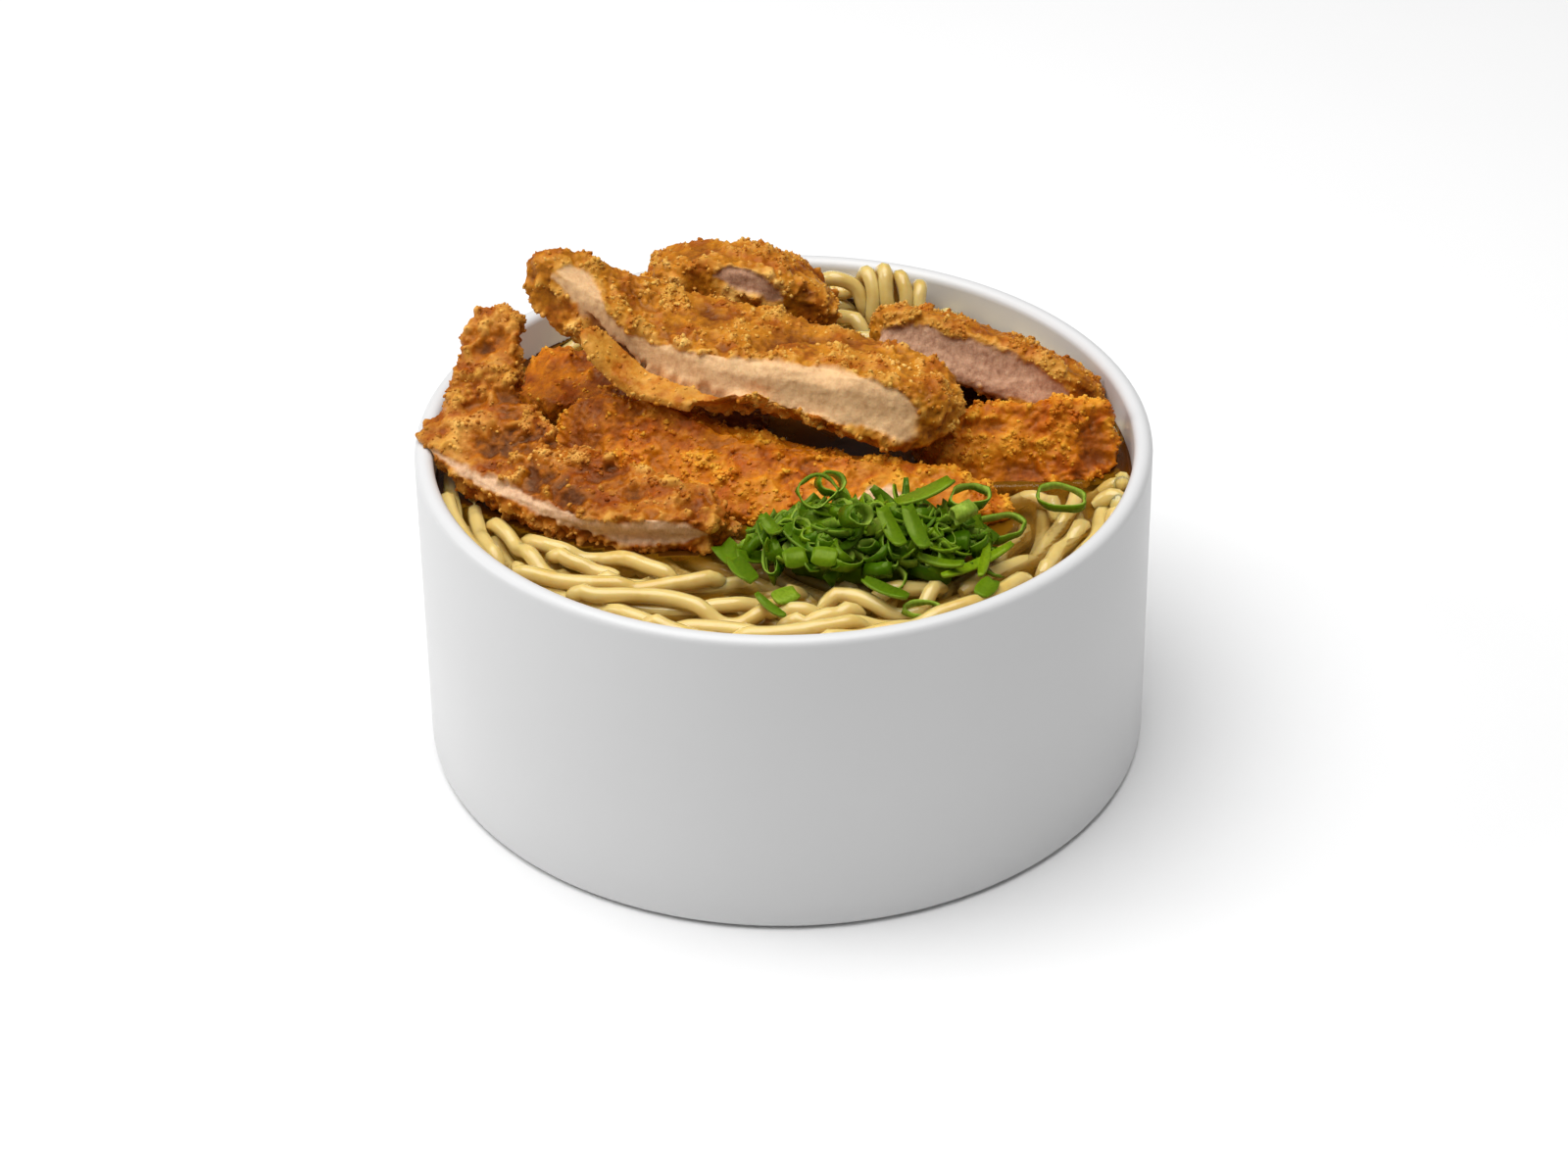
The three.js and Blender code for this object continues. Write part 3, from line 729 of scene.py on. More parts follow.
class SAIMIN_OT_bowl(Operator):
    """Turns the bowl and rounds its rim, foot and inside corner"""

    bl_idname = "saimin.bowl"
    bl_label = "Bowl"

    def execute(self, context):
        settings = context.scene.saimin_bowl
        inner = BOWL_RADIUS - settings.wall
        profile = [(0, RECESS_DEEP), (RECESS_RADIUS, RECESS_DEEP), (RECESS_RADIUS + MM, 0),
                   (BOWL_RADIUS, 0), (BOWL_RADIUS, BOWL_HEIGHT), (inner, BOWL_HEIGHT),
                   (inner, FLOOR_THICK), (0, FLOOR_THICK)]
        bm = turned(profile, BOWL_STEPS)
        round_ring(bm, BOWL_RADIUS, BOWL_HEIGHT, settings.rim, 4)
        round_ring(bm, inner, BOWL_HEIGHT, settings.rim, 4)
        round_ring(bm, BOWL_RADIUS, 0, FOOT_CORNER, 5)
        round_ring(bm, inner, FLOOR_THICK, INSIDE_CORNER, 6)
        mesh = mesh_from("saimin_bowl", bm)
        dress(piece_of("saimin_bowl", mesh, glaze_material(settings)), "bowl", "bowl")
        return {"FINISHED"}


# Pork strips

# The front face, where pork may be bare: how far a point may lie outside it and behind it in
# millimetres, wholly bare up to the first value and not at all past the second; and the
# distance given for a point that no bare band is near
OUTSIDE_FACE = (0.7, 1.4)
BEHIND_FACE = (1.4, 2.4)
FAR_OFF = -9.0

# How near a neighbour holds the crust back and the gap that is left, and the width and depth
# of the crease above loose coating, in millimetres
NEIGHBOUR_REACH = 3.0
NEIGHBOUR_GAP = 0.1
CREASE_WIDE = 0.8
CREASE_DEEP = 2.0
SOFTENING_ROUNDS = 10

# The smallest crumb's radius in millimetres, how much larger the largest is, and the share of
# its radius by which a crumb sinks into the crust
CRUMB_RADIUS = 0.24
CRUMB_RANGE = 0.5
CRUMB_SUNK = 0.15

# What a strip has along it where its table says nothing
NO_LINE = ((-1, 0), (1, 0))


def end_share(pair, along, knee, power):
    """How much of a left and a right value a place along a strip takes, from each knee on."""
    left = max((-along - knee[0]) / (1 - knee[0]), 0) ** power
    right = max((along - knee[1]) / (1 - knee[1]), 0) ** power
    return pair[0] * left + pair[1] * right


class StripFrame:
    """Where a point lies in its strip: along it, across it and through its thickness."""

    def __init__(self, strip):
        self.strip = strip
        yaw = math.radians(strip["yaw"])
        pitch = math.radians(strip.get("pitch", 0))
        self.middle = Vector(strip["at"])
        self.axis = Vector((math.cos(yaw) * math.cos(pitch), math.sin(yaw) * math.cos(pitch),
                            math.sin(pitch)))
        self.back = Vector((-math.sin(yaw), math.cos(yaw), 0))
        self.up = self.axis.cross(self.back)

    def spine(self, along):
        """The middle of the strip at a place along it."""
        strip = self.strip
        knee = strip.get("knee", (0, 0))
        bend = strip.get("bend", 1.8)
        lift = end_share(strip.get("lift", (0, 0)), along, knee, bend)
        bow = end_share(strip.get("bow", (0, 0)), along, knee, bend)
        half = along * strip["length"] / 2
        return self.middle + self.axis * half + self.up * lift + self.back * bow

    def section(self, along):
        """The ways across the strip and through it, at a place along it."""
        tangent = (self.spine(along + 0.02) - self.spine(along - 0.02)).normalized()
        roll = math.radians(self.strip["roll"] + self.strip.get("twist", 0) * along)
        across = self.back * math.cos(roll) + self.up * math.sin(roll)
        across = (across - tangent * across.dot(tangent)).normalized()
        return across, tangent.cross(across)

    def locate(self, point):
        """Along from -1 to 1, across and through in millimetres, and the width and depth."""
        strip = self.strip
        along = (point - self.middle).dot(self.axis) / (strip["length"] / 2)
        along = min(max(along, -1.0), 1.0)
        across, normal = self.section(along)
        offset = point - self.spine(along)
        side = 0 if along < 0 else 1
        share = abs(along) ** strip.get("flare", 1.5)
        wide = strip["width"] * (1 + (strip.get("wide_ends", (1, 1))[side] - 1) * share)
        deep = strip["thick"] * (1 + (strip.get("thick_ends", (1, 1))[side] - 1) * abs(along))
        return along, offset.dot(across), offset.dot(normal), wide, deep


def band_at(band, along):
    """The low and high edge of a bare band at a place along its strip, or None beyond it."""
    for (start, low, high), (end, next_low, next_high) in zip(band, band[1:]):
        if start <= along <= end:
            share = (along - start) / (end - start)
            return low + (next_low - low) * share, high + (next_high - high) * share
    return None


def bare_amount(strip, where, point):
    """How bare a point of the front is, from 0 on crust to 1 on pork, and its distances in
    millimetres inwards from the band's nearer edge and upwards from its low edge."""
    along, across, through, wide, deep = where
    edges = band_at(strip.get("bare", ()), along)
    inward = across + wide / 2
    below = deep / 2 - through
    if edges is None or inward < -OUTSIDE_FACE[1] or min(inward, below) > BEHIND_FACE[1]:
        return 0.0, FAR_OFF, FAR_OFF
    ragged = 0.8 * noise.noise(point / 3.5) + 0.6 * noise.noise(point / 1.2)
    height = deep - below + inward + ragged
    inside = min(height - edges[0], edges[1] - height)
    in_front = smoothstep(-OUTSIDE_FACE[1], -OUTSIDE_FACE[0], inward)
    faces = in_front * (1 - smoothstep(*BEHIND_FACE, min(inward, below)))
    return faces * smoothstep(-0.5, 0.5, inside), inside, height - edges[0]


def along_line(line, along):
    """The value at a place along a strip, from (place, value) pairs."""
    return float(np.interp(along, [place for place, _ in line], [value for _, value in line]))


def face_shift(place, where, point):
    """How a point moves, in millimetres, for its strip's corners and front face."""
    along, across, through, wide, deep = where
    strip = place.strip
    inward, upward = place.section(along)
    shift = Vector((0, 0, 0))
    for key, side in (("chamfer", 1), ("nick", -1)):
        leg = along_line(strip.get(key, NO_LINE), along)
        leg *= 1 + 0.25 * noise.noise(point / 3.0)
        over = leg - (wide / 2 + side * across) - (deep / 2 + side * through)
        if leg > 0 and over > 0:
            shift += (inward + upward) * (side * over / 2)
    front = smoothstep(0.2 * wide, -0.5 * wide, across)
    push = along_line(strip.get("bulge", NO_LINE), along)
    push += strip.get("lean", 0) * smoothstep(0.5 * deep, -0.5 * deep, through)
    return shift - inward * (push * front)


def skin_amount(strip, along, above):
    """How far the coating has come loose at a point, and how deep its crease is there."""
    start, end = strip.get("skin", (2, 3))
    share = smoothstep(start - 0.05, start + 0.05, along)
    share *= smoothstep(end + 0.05, end - 0.05, along)
    return share * smoothstep(0.4, -0.4, above), share * math.exp(-(above / CREASE_WIDE) ** 2)


def crag_height(point, rough):
    """Relief of the crust in millimetres: soft lumps and creases all over, and packed crumbs
    where the coating is coarse."""
    lumps = 1.0 * noise.noise(point / 8.0)
    creases = 1.0 * (0.28 - abs(noise.noise(point / 4.2 + Vector((7, 3, 1)))))
    coarse = smoothstep(-0.30, 0.30, noise.noise(point / 10.0 + Vector((5, 1, 8))))
    near, cells = noise.voronoi(point / 1.7)
    crumb = max(0.0, 1.0 - near[0] / 0.62) * (0.3 + 0.7 * abs(noise.cell(cells[0] * 5.3)))
    knob = max(noise.noise(point / 2.8 + Vector((1, 6, 4))) - 0.05, 0.0)
    packed = (0.40 + 1.0 * coarse) * (0.85 * crumb + 1.9 * knob)
    return rough * (lumps + creases + packed) + 0.30 * noise.noise(point / 0.8) - 0.25


def flesh_height(point):
    """Relief of a cut face: shallow waves and the ends of the fibres."""
    return 0.35 * noise.noise(point / 5.0) + 0.18 * noise.noise(point / 1.3) - 0.40


def fine_shell(name, spacing):
    """The strip's solid as an even fine mesh, its edges softened."""
    piece = in_scene(name, mesh_from(name, node_mesh(name)))
    remesh = piece.modifiers.new("even", "REMESH")
    remesh.mode = "VOXEL"
    remesh.voxel_size = spacing
    bm = bmesh.new()
    bm.from_mesh(frozen(piece))
    for _ in range(SOFTENING_ROUNDS):
        bmesh.ops.smooth_vert(bm, verts=bm.verts, factor=0.5, use_axis_x=True,
                              use_axis_y=True, use_axis_z=True)
    bm.normal_update()
    return bm


def crust_piece(name, strip, settings):
    """One strip with its crags and cut faces; stores its relief and cuts for the material."""
    place = StripFrame(strip)
    others = node_tree(*[n for n in STRIPS if n != name], "bowl")
    bm = fine_shell(name, settings.detail)
    relief, cuts, tones, shifts = [], [], [], []
    for vert in bm.verts:
        point = vert.co / MM
        where = place.locate(point)
        cut, inside, above = bare_amount(strip, where, point)
        skin, crease = skin_amount(strip, where[0], above)
        crag = crag_height(point, strip["rough"]) * (1 - 0.6 * skin) * settings.crag / MM
        height = crag * (1 - cut) + flesh_height(point) * cut - CREASE_DEEP * crease
        nearest = others.find_nearest(vert.co, NEIGHBOUR_REACH * MM)
        room = nearest[3] / MM - NEIGHBOUR_GAP if nearest[0] else NEIGHBOUR_REACH
        height = min(height, max(0.5 * room, 0.0))
        # Painted shade in the crease: lower relief, less of the flesh colour and no paling
        relief.append(min(max(0.40 + 0.30 * crag - 0.5 * crease, 0.0), 1.0))
        cuts.append(cut * (1 - 0.7 * crease))
        patchy = 0.6 + 0.6 * noise.noise(point / 2.0)
        tone = smoothstep(-4.5, -0.2, inside) * patchy * (1 - crease) + 0.5 * skin
        # Partly painted light and shade, partly tone, along the strip
        tones.append(tone + along_line(strip.get("light_and_toast", NO_LINE), where[0]))
        shifts.append((vert.normal * height + face_shift(place, where, point)) * MM)
    for vert, shift in zip(bm.verts, shifts):
        vert.co += shift
    mesh = mesh_from(name, bm)
    write_values(mesh, "relief", relief)
    write_values(mesh, "cut", cuts)
    write_values(mesh, "tone", tones)
    material = crust_material(strip["shade"], strip["flesh"])
    return piece_of(f"breaded_{name}", mesh, material)


def crumb_spots(mesh, count, draw):
    """Places on a strip's crust for loose crumbs, most of them raised, and how each faces."""
    facing = read_vectors(mesh, "normal")
    crust = np.flatnonzero((read_values(mesh, "cut") < 0.2) & (facing[:, 2] > -0.55))
    raised = np.clip(read_values(mesh, "relief")[crust] - 0.25, 0.02, 1.0) ** 2
    chosen = draw.choice(crust, size=min(count, len(crust)), replace=False,
                         p=raised / raised.sum())
    return read_vectors(mesh, "co")[chosen], facing[chosen]


def crumb_arrays(spots, facing, draw):
    """Points of every crumb: a small ball made flat and ragged, turned at random."""
    ball = bmesh.new()
    bmesh.ops.create_icosphere(ball, subdivisions=1, radius=1.0)
    shape = np.array([v.co[:] for v in ball.verts])
    faces = np.array([[v.index for v in f.verts] for f in ball.faces])
    ball.free()
    count = len(spots)
    size = (CRUMB_RADIUS + CRUMB_RANGE * draw.random(count) ** 2.5)[:, None, None] * MM
    stretch = np.stack([1.0 + 0.4 * draw.random(count), 0.8 + 0.3 * draw.random(count),
                        0.6 + 0.3 * draw.random(count)], axis=1)[:, None, :]
    ragged = 1 + 0.5 * (draw.random((count, len(shape), 1)) - 0.5)
    points = shape[None] * ragged * stretch * size
    first = draw.normal(size=(count, 3))
    first /= np.linalg.norm(first, axis=1, keepdims=True)
    second = np.cross(first, draw.normal(size=(count, 3)))
    second /= np.linalg.norm(second, axis=1, keepdims=True)
    third = np.cross(first, second)
    axes = np.stack([first, second, third], axis=1)
    points = np.einsum("nij,njk->nik", points, axes)
    points += (spots - facing * size[:, 0] * CRUMB_SUNK)[:, None, :]
    return points, faces


def crumbs_piece(breaded, count, draw):
    """The loose crumbs that stick to one breaded strip, as one mesh."""
    spots, facing = crumb_spots(breaded.data, count, draw)
    points, faces = crumb_arrays(spots, facing, draw)
    count, around = points.shape[:2]
    starts = (np.arange(count) * around)[:, None, None]
    corners = (faces[None] + starts).reshape(-1, 3)
    mesh = bpy.data.meshes.new("crumbs")
    mesh.from_pydata(points.reshape(-1, 3).tolist(), [], corners.tolist())
    write_values(mesh, "relief", np.repeat(0.42 + 0.40 * draw.random(count), around))
    write_values(mesh, "cut", np.zeros(count * around))
    write_values(mesh, "tone", np.repeat(0.8 * draw.random(count) ** 2, around))
    mesh.update()
    name = breaded.name.replace("breaded", "crumbs")
    return piece_of(name, mesh, breaded.data.materials[0])


class SAIMIN_OT_pork(Operator):
    """Makes the breaded pork strips and the crumbs on them"""

    bl_idname = "saimin.pork"
    bl_label = "Pork Strips"

    def execute(self, context):
        settings = context.scene.saimin_pork
        draw = np.random.default_rng(settings.seed)
        for name, strip in STRIPS.items():
            piece = crust_piece(name, strip, settings)
            dress(piece, "katsu", name)
            count = round(settings.crumbs * len(piece.data.vertices) / 1000)
            dress(crumbs_piece(piece, count, draw), "katsu")
        return {"FINISHED"}


# Noodles, worked out in millimetres

# The grid that the noodles are laid on, the level of their core's top and of their bed, and
# the pools and humps of the bed: middle, radius and depth or height
CELL = 1.0
GRID_HALF = 80
OPEN_SKY = 200.0
CORE_LEVEL = 57.5
BED = 62.6
POOLS = (((54, -33), 16, 2.6), ((-50, 47), 13, 3.0), ((-66, -19), 7, 1.2), ((-58, 27), 9, 3.6))
HUMPS = (((22, 61), 11, 8.0), ((-9, 48), 15, 3.5))

# How far in under a strip a noodle no longer shows, the half width of a gap that counts as
# narrow, and how much of its outline is given back, in cells
HIDDEN_IN = 6
NARROW_HALF = 10
NARROW_BACK = 16

# How far a noodle's middle may lie above the bed in the lowest layer and in narrow gaps. The
# layers laid in turn: their share of the tries, how far a middle may lie above the bed, the
# fewest steps that a noodle must have, and how many lie in loose curls
LOWEST = -1.6
LAYERS = ((0.2, LOWEST, 12, 0), (0.15, 1.6, 24, 0), (0.15, 2.4, 12, 0.8), (0.3, 3.3, 34, 0),
          (0.15, 3.8, 26, 0), (0.05, 2.4, 10, 0.5))

# A noodle's run: its steps and length, the width and pitch of a gentle and of a strong wave,
# how many have a strong one, and how sharply a loose curl turns in radians for each millimetre
STRAND_STEP = 1.2
RUN_LENGTH = (60, 130)
GENTLE_WAVE = (0.3, 1.3)
GENTLE_PITCH = (18, 30)
STRONG_WAVE = (2.0, 4.2)
STRONG_PITCH = (24, 34)
STRONG_SHARE = 0.3
CURL_TURN = (0.03, 0.11)

# How near the wall turns a noodle, how strongly, and how much more where the noodle faces it
WALL_REACH = 30
WALL_PULL = 0.06
FACING_PULL = 0.34

# How many steps a noodle's ends sink past what shows, and by how much at each
SINK_STEPS = 3
SINK_DROP = 0.8

# The core: (radius, height) of the rings of its side, and the shares of the last radius at
# which the rings of its top lie
CORE_FOOT = 54
CORE_SIDE = ((64, 14), (68, 32), (71, 50), (71, CORE_LEVEL - 1))
CORE_TOP = (0.93, 0.86, 0.78, 0.7, 0.6, 0.5, 0.4, 0.3, 0.2, 0.1)

# Noodles that stand up in loops at the back: each one's points
LOOPS = (
    ((11, 66, 66), (9, 63, 72), (11.5, 60.5, 75), (16.5, 60, 73), (19, 58, 67)),
    ((18, 66.5, 66), (18.2, 64.5, 72.5), (19.3, 61.5, 75.6), (20.6, 58, 72), (20, 56, 66)),
    ((21.6, 66.5, 66), (22.4, 64, 74), (23.2, 60.5, 76.2), (23.4, 57, 71.5), (24.6, 55.5, 66)),
    ((26.2, 66, 66), (26, 63.5, 72.5), (26.8, 60.5, 74.8), (27.8, 57.5, 71.6), (27.4, 56, 66)),
    ((29, 65, 66), (30.6, 62.5, 71.2), (31, 59.5, 72.6), (30.6, 57, 70), (31.8, 55, 66)),
)


def bed_height(x, y):
    """Level of the noodle bed in millimetres: lower in the pools, higher in the humps."""
    height = BED
    for (px, py), radius, depth in POOLS:
        height -= depth * math.exp(-(math.hypot(x - px, y - py) / radius) ** 4)
    for (hx, hy), radius, tall in HUMPS:
        height += tall * math.exp(-(math.hypot(x - hx, y - hy) / radius) ** 2)
    return height


def shrunk(mask, reach):
    """The cells of a mask whose neighbours up to that reach are all in it too."""
    for axis in (0, 1):
        mask = np.all([np.roll(mask, step, axis) for step in range(-reach, reach + 1)], axis=0)
    return mask


class NoodleBed:
    """Heights of what lies in the bowl, on a grid of one-millimetre cells."""

    def __init__(self, radius):
        self.radius = radius
        cells = 2 * GRID_HALF + 1
        self.top = np.zeros((cells, cells))
        self.roof = np.full((cells, cells), OPEN_SKY)
        covered = np.zeros((cells, cells), bool)
        strips = node_tree(*STRIPS)
        above = node_tree(*STRIPS, "onion_heap", *ONION_NODES)
        for i in range(cells):
            for j in range(cells):
                x = (i - GRID_HALF) * CELL
                y = (j - GRID_HALF) * CELL
                self.top[i, j] = bed_height(x, y) - BED + CORE_LEVEL
                if math.hypot(x, y) < INNER_RADIUS / MM:
                    spot = Vector((x, y, 20)) * MM
                    hit = above.ray_cast(spot, Vector((0, 0, 1)))
                    if hit[0]:
                        self.roof[i, j] = hit[0].z / MM
                    covered[i, j] = bool(strips.ray_cast(spot, Vector((0, 0, 1)))[0])
        self.hidden = shrunk(covered, HIDDEN_IN)
        self.narrow = shrunk(~shrunk(~covered, NARROW_HALF), NARROW_BACK)

    def window(self, x, y, reach):
        """The rows and columns of the cells round a place."""
        i = round(x / CELL) + GRID_HALF
        j = round(y / CELL) + GRID_HALF
        return slice(i - reach, i + reach + 1), slice(j - reach, j + reach + 1)

    def rest(self, x, y):
        """Height at which a noodle's middle rests there."""
        return self.top[self.window(x, y, 1)].max() + self.radius * 0.86

    def ceiling(self, x, y):
        """How high a noodle's middle may lie below what covers it."""
        return self.roof[self.window(x, y, 2)].min() - self.radius - 0.25

    def is_in(self, mask, x, y):
        """Whether a place lies in one of the bed's masks."""
        return mask[round(x / CELL) + GRID_HALF, round(y / CELL) + GRID_HALF]

    def limit(self, x, y, lift):
        """How high a noodle's middle may lie: low in the narrow gaps between strips."""
        return bed_height(x, y) + (min(lift, LOWEST) if self.is_in(self.narrow, x, y) else lift)

    def press(self, x, y, z):
        """Marks that a noodle lies there."""
        reach = math.ceil(self.radius)
        rows, columns = self.window(x, y, reach)
        for i in range(rows.start, rows.stop):
            for j in range(columns.start, columns.stop):
                gap = math.hypot((i - GRID_HALF) * CELL - x, (j - GRID_HALF) * CELL - y)
                if gap < self.radius:
                    height = z + math.sqrt(self.radius ** 2 - gap ** 2)
                    self.top[i, j] = max(self.top[i, j], height)


def turned_by_wall(x, y, heading, edge):
    """A heading eased round towards the run of the wall, the more so close to it."""
    out = math.atan2(y, x)
    near = smoothstep(edge - WALL_REACH, edge, math.hypot(x, y))
    tangent = out + math.copysign(math.pi / 2, math.sin(heading - out))
    pull = WALL_PULL + (FACING_PULL if math.cos(heading - out) > 0 else 0.0) * near
    return heading + pull * near * math.sin(tangent - heading)


def strand_path(draw, radius, loose):
    """A crinkled way round the bowl or in a loose curl, seen from above."""
    edge = INNER_RADIUS / MM - radius - 0.5
    far = edge * math.sqrt(0.1 + 0.9 * draw.random())
    angle = math.tau * draw.random()
    x, y = far * math.cos(angle), far * math.sin(angle)
    heading = angle + math.pi / 2 + draw.gauss(0, 0.35)
    if draw.random() < 0.5:
        heading += math.pi
    length = draw.uniform(*RUN_LENGTH)
    wave = draw.uniform(*GENTLE_WAVE)
    pitch = draw.uniform(*GENTLE_PITCH)
    if draw.random() < STRONG_SHARE:
        wave = draw.uniform(*STRONG_WAVE)
        pitch = draw.uniform(*STRONG_PITCH)
    phase = draw.uniform(0, math.tau)
    bend = draw.gauss(0, 0.010)
    if loose:
        heading = draw.uniform(0, math.tau)
        bend = draw.choice((-1, 1)) * draw.uniform(*CURL_TURN)
    path = []
    for step in range(int(length / STRAND_STEP)):
        run = step * STRAND_STEP
        swing = wave * math.sin(phase + math.tau * run / pitch)
        across = heading + math.pi / 2
        px, py = x + swing * math.cos(across), y + swing * math.sin(across)
        far = math.hypot(px, py)
        if far > edge:
            px, py = px * edge / far, py * edge / far
        path.append((px, py))
        heading += bend * STRAND_STEP + draw.gauss(0, 0.03)
        if not loose:
            heading = turned_by_wall(x, y, heading, edge)
        x += STRAND_STEP * math.cos(heading)
        y += STRAND_STEP * math.sin(heading)
    return path


def laid(path, bed, lift):
    """The strand's heights as it sinks onto what lies there, and where it finds room."""
    rest = np.array([bed.rest(x, y) for x, y in path])
    wide = np.array([rest[max(i - 2, 0):i + 3].max() for i in range(len(rest))])
    kernel = np.array([1, 2, 3, 2, 1]) / 9
    eased = np.convolve(np.pad(wide, 2, mode="edge"), kernel, mode="valid")
    roof = np.array([bed.ceiling(x, y) for x, y in path])
    low = np.array([roof[max(i - 3, 0):i + 4].min() for i in range(len(roof))])
    heights = np.minimum(eased, np.convolve(np.pad(low, 2, mode="edge"), kernel, mode="valid"))
    limit = np.array([bed.limit(x, y, lift) for x, y in path])
    shows = np.array([not bed.is_in(bed.hidden, x, y) for x, y in path])
    return heights, shows & (heights <= limit) & (heights > eased - 0.6)


def longest_run(flags):
    """Start and end of the longest row of true values."""
    best, start = (0, 0), None
    for i, flag in enumerate(list(flags) + [False]):
        if flag and start is None:
            start = i
        elif not flag and start is not None:
            if i - start > best[1] - best[0]:
                best = (start, i)
            start = None
    return best


def with_sunk_ends(path, heights, start, end):
    """A run of a path as points, its two ends carried on downwards below its neighbours."""
    strand = [(x, y, z) for (x, y), z in zip(path[start:end], heights[start:end])]
    before = path[max(start - SINK_STEPS, 0):start][::-1]
    after = path[end:end + SINK_STEPS]
    head = [(x, y, strand[0][2] - SINK_DROP * (i + 1)) for i, (x, y) in enumerate(before)]
    tail = [(x, y, strand[-1][2] - SINK_DROP * (i + 1)) for i, (x, y) in enumerate(after)]
    return [*head[::-1], *strand, *tail]


def lay_noodles(settings):
    """Lays the noodles one by one and returns the points of each."""
    draw = random.Random(settings.seed)
    radius = settings.radius / MM
    bed = NoodleBed(radius)
    strands = [smooth_way(loop) for loop in LOOPS]
    for strand in strands:
        for x, y, z in strand:
            bed.press(x, y, z)
    for share, lift, fewest, curls in LAYERS:
        for _ in range(round(share * settings.count)):
            path = strand_path(draw, radius, draw.random() < curls)
            heights, free = laid(path, bed, lift)
            start, end = longest_run(free)
            if end - start < fewest:
                continue
            for (x, y), z in zip(path[start:end], heights[start:end]):
                bed.press(x, y, z)
            strands.append(with_sunk_ends(path, heights, start, end))
    return strands


def smooth_way(points, steps=6):
    """Points along a smooth curve through the points given."""
    points = [Vector(point) for point in points]
    line = [2 * points[0] - points[1], *points, 2 * points[-1] - points[-2]]
    way = []
    for before, start, end, after in zip(line, line[1:], line[2:], line[3:]):
        for step in range(steps):
            t = step / steps
            bend = (2 * before - 5 * start + 4 * end - after) * t ** 2
            ease = (3 * start - before - 3 * end + after) * t ** 3
            way.append((2 * start + (end - before) * t + bend + ease) / 2)
    return [*way, points[-1]]


def strands_mesh(strands, radius):
    """Round strands along the paths, their ends rounded off."""
    curve = bpy.data.curves.new("strands", "CURVE")
    curve.dimensions = "3D"
    curve.bevel_depth = radius
    curve.bevel_resolution = 2
    curve.use_fill_caps = True
    for strand in strands:
        spline = curve.splines.new("POLY")
        spline.points.add(len(strand) - 1)
        last = len(strand) - 1
        for i, (point, place) in enumerate(zip(spline.points, strand)):
            point.co = (*(Vector(place) * MM), 1)
            end = min(i, last - i)
            swell = 1 + 0.07 * noise.noise(Vector(place) / 6)
            point.radius = swell * (1.0 if end > 1 else (0.55, 0.88)[end])
    return frozen(in_scene("strands", curve))


def ring_on(bm, edges, radius, level):
    """Extrudes a ring of edges to a radius, each new point at the level there."""
    verts, edges = extruded(bm, edges)
    for vert in verts:
        grow = radius * MM / math.hypot(vert.co.x, vert.co.y)
        x, y = vert.co.x * grow, vert.co.y * grow
        vert.co = Vector((x, y, level(x, y) * MM))
    return edges


def core_level(x, y):
    """Level of the core's top in millimetres at a place in metres: the bed's, with lumps."""
    lump = 0.8 * noise.noise(Vector((x, y, 0)) / MM / 5)
    return bed_height(x / MM, y / MM) - BED + CORE_LEVEL + lump


def core_mesh():
    """The tangle below the noodles that show, as a lumpy closed mass on the bowl's floor."""
    bm = bmesh.new()
    bmesh.ops.create_circle(bm, cap_ends=True, segments=96, radius=CORE_FOOT * MM)
    bmesh.ops.translate(bm, verts=bm.verts, vec=(0, 0, FLOOR_THICK + 0.4 * MM))
    edges = list(bm.edges)
    for radius, height in CORE_SIDE:
        edges = ring_on(bm, edges, radius, lambda x, y: height)
    for share in CORE_TOP:
        edges = ring_on(bm, edges, share * CORE_SIDE[-1][0], core_level)
    bmesh.ops.contextual_create(bm, geom=edges)
    bmesh.ops.recalc_face_normals(bm, faces=bm.faces)
    return mesh_from("noodle_core", bm)


class SAIMIN_OT_noodles(Operator):
    """Lays the noodles over their core"""

    bl_idname = "saimin.noodles"
    bl_label = "Noodles"

    def execute(self, context):
        settings = context.scene.saimin_noodles
        strands = strands_mesh(lay_noodles(settings), settings.radius)
        cooked = noodle_material("cooked_noodle", settings.colour)
        dress(piece_of("noodle_strands", strands, cooked), "noodles", "noodles")
        # The core is given a darker colour as painted shade below the noodles that show
        deep = noodle_material("deep_noodle", tinted(settings.colour, (0.55, 0.42, 0.24)))
        dress(piece_of("noodle_core", core_mesh(), deep), "noodles")
        return {"FINISHED"}


# Broth

# The mesh's spacing, how deep the broth is made, and the depth at which it looks its fullest
BROTH_CELL = 0.8 * MM
BROTH_DEEP = 9 * MM
FULL_DEPTH = 8 * MM

# How far out the meniscus dies away at the bowl's wall and at the food, and how far off food
# is looked for
WALL_MENISCUS = 1.2 * MM
FOOD_MENISCUS = 0.8 * MM
FOOD_REACH = 4 * MM


def broth_top():
    """A fine disc at the broth's level, out to the bowl's wall."""
    bm = bmesh.new()
    count = round(2 * INNER_RADIUS / BROTH_CELL)
    bmesh.ops.create_grid(bm, x_segments=count, y_segments=count, size=INNER_RADIUS)
    edge = INNER_RADIUS - 0.05 * MM
    outside = [v for v in bm.verts if v.co.xy.length > edge + BROTH_CELL]
    bmesh.ops.delete(bm, geom=outside, context="VERTS")
    for vert in bm.verts:
        far = vert.co.xy.length
        if far > edge:
            vert.co.xy *= edge / far
        vert.co.z = BROTH_LEVEL
    return bm


def meniscus_rise(point, climb, noodles, strips):
    """How far the broth climbs at a point, for the wall or the food that is nearest."""
    wall = INNER_RADIUS - point.xy.length
    rises = [climb * math.exp(-wall / WALL_MENISCUS)]
    for tree, share in ((noodles, 0.55), (strips, 1.0)):
        found = tree.find_nearest(point, FOOD_REACH)
        if found[0]:
            rises.append(share * climb * math.exp(-found[3] / FOOD_MENISCUS))
    return max(rises)


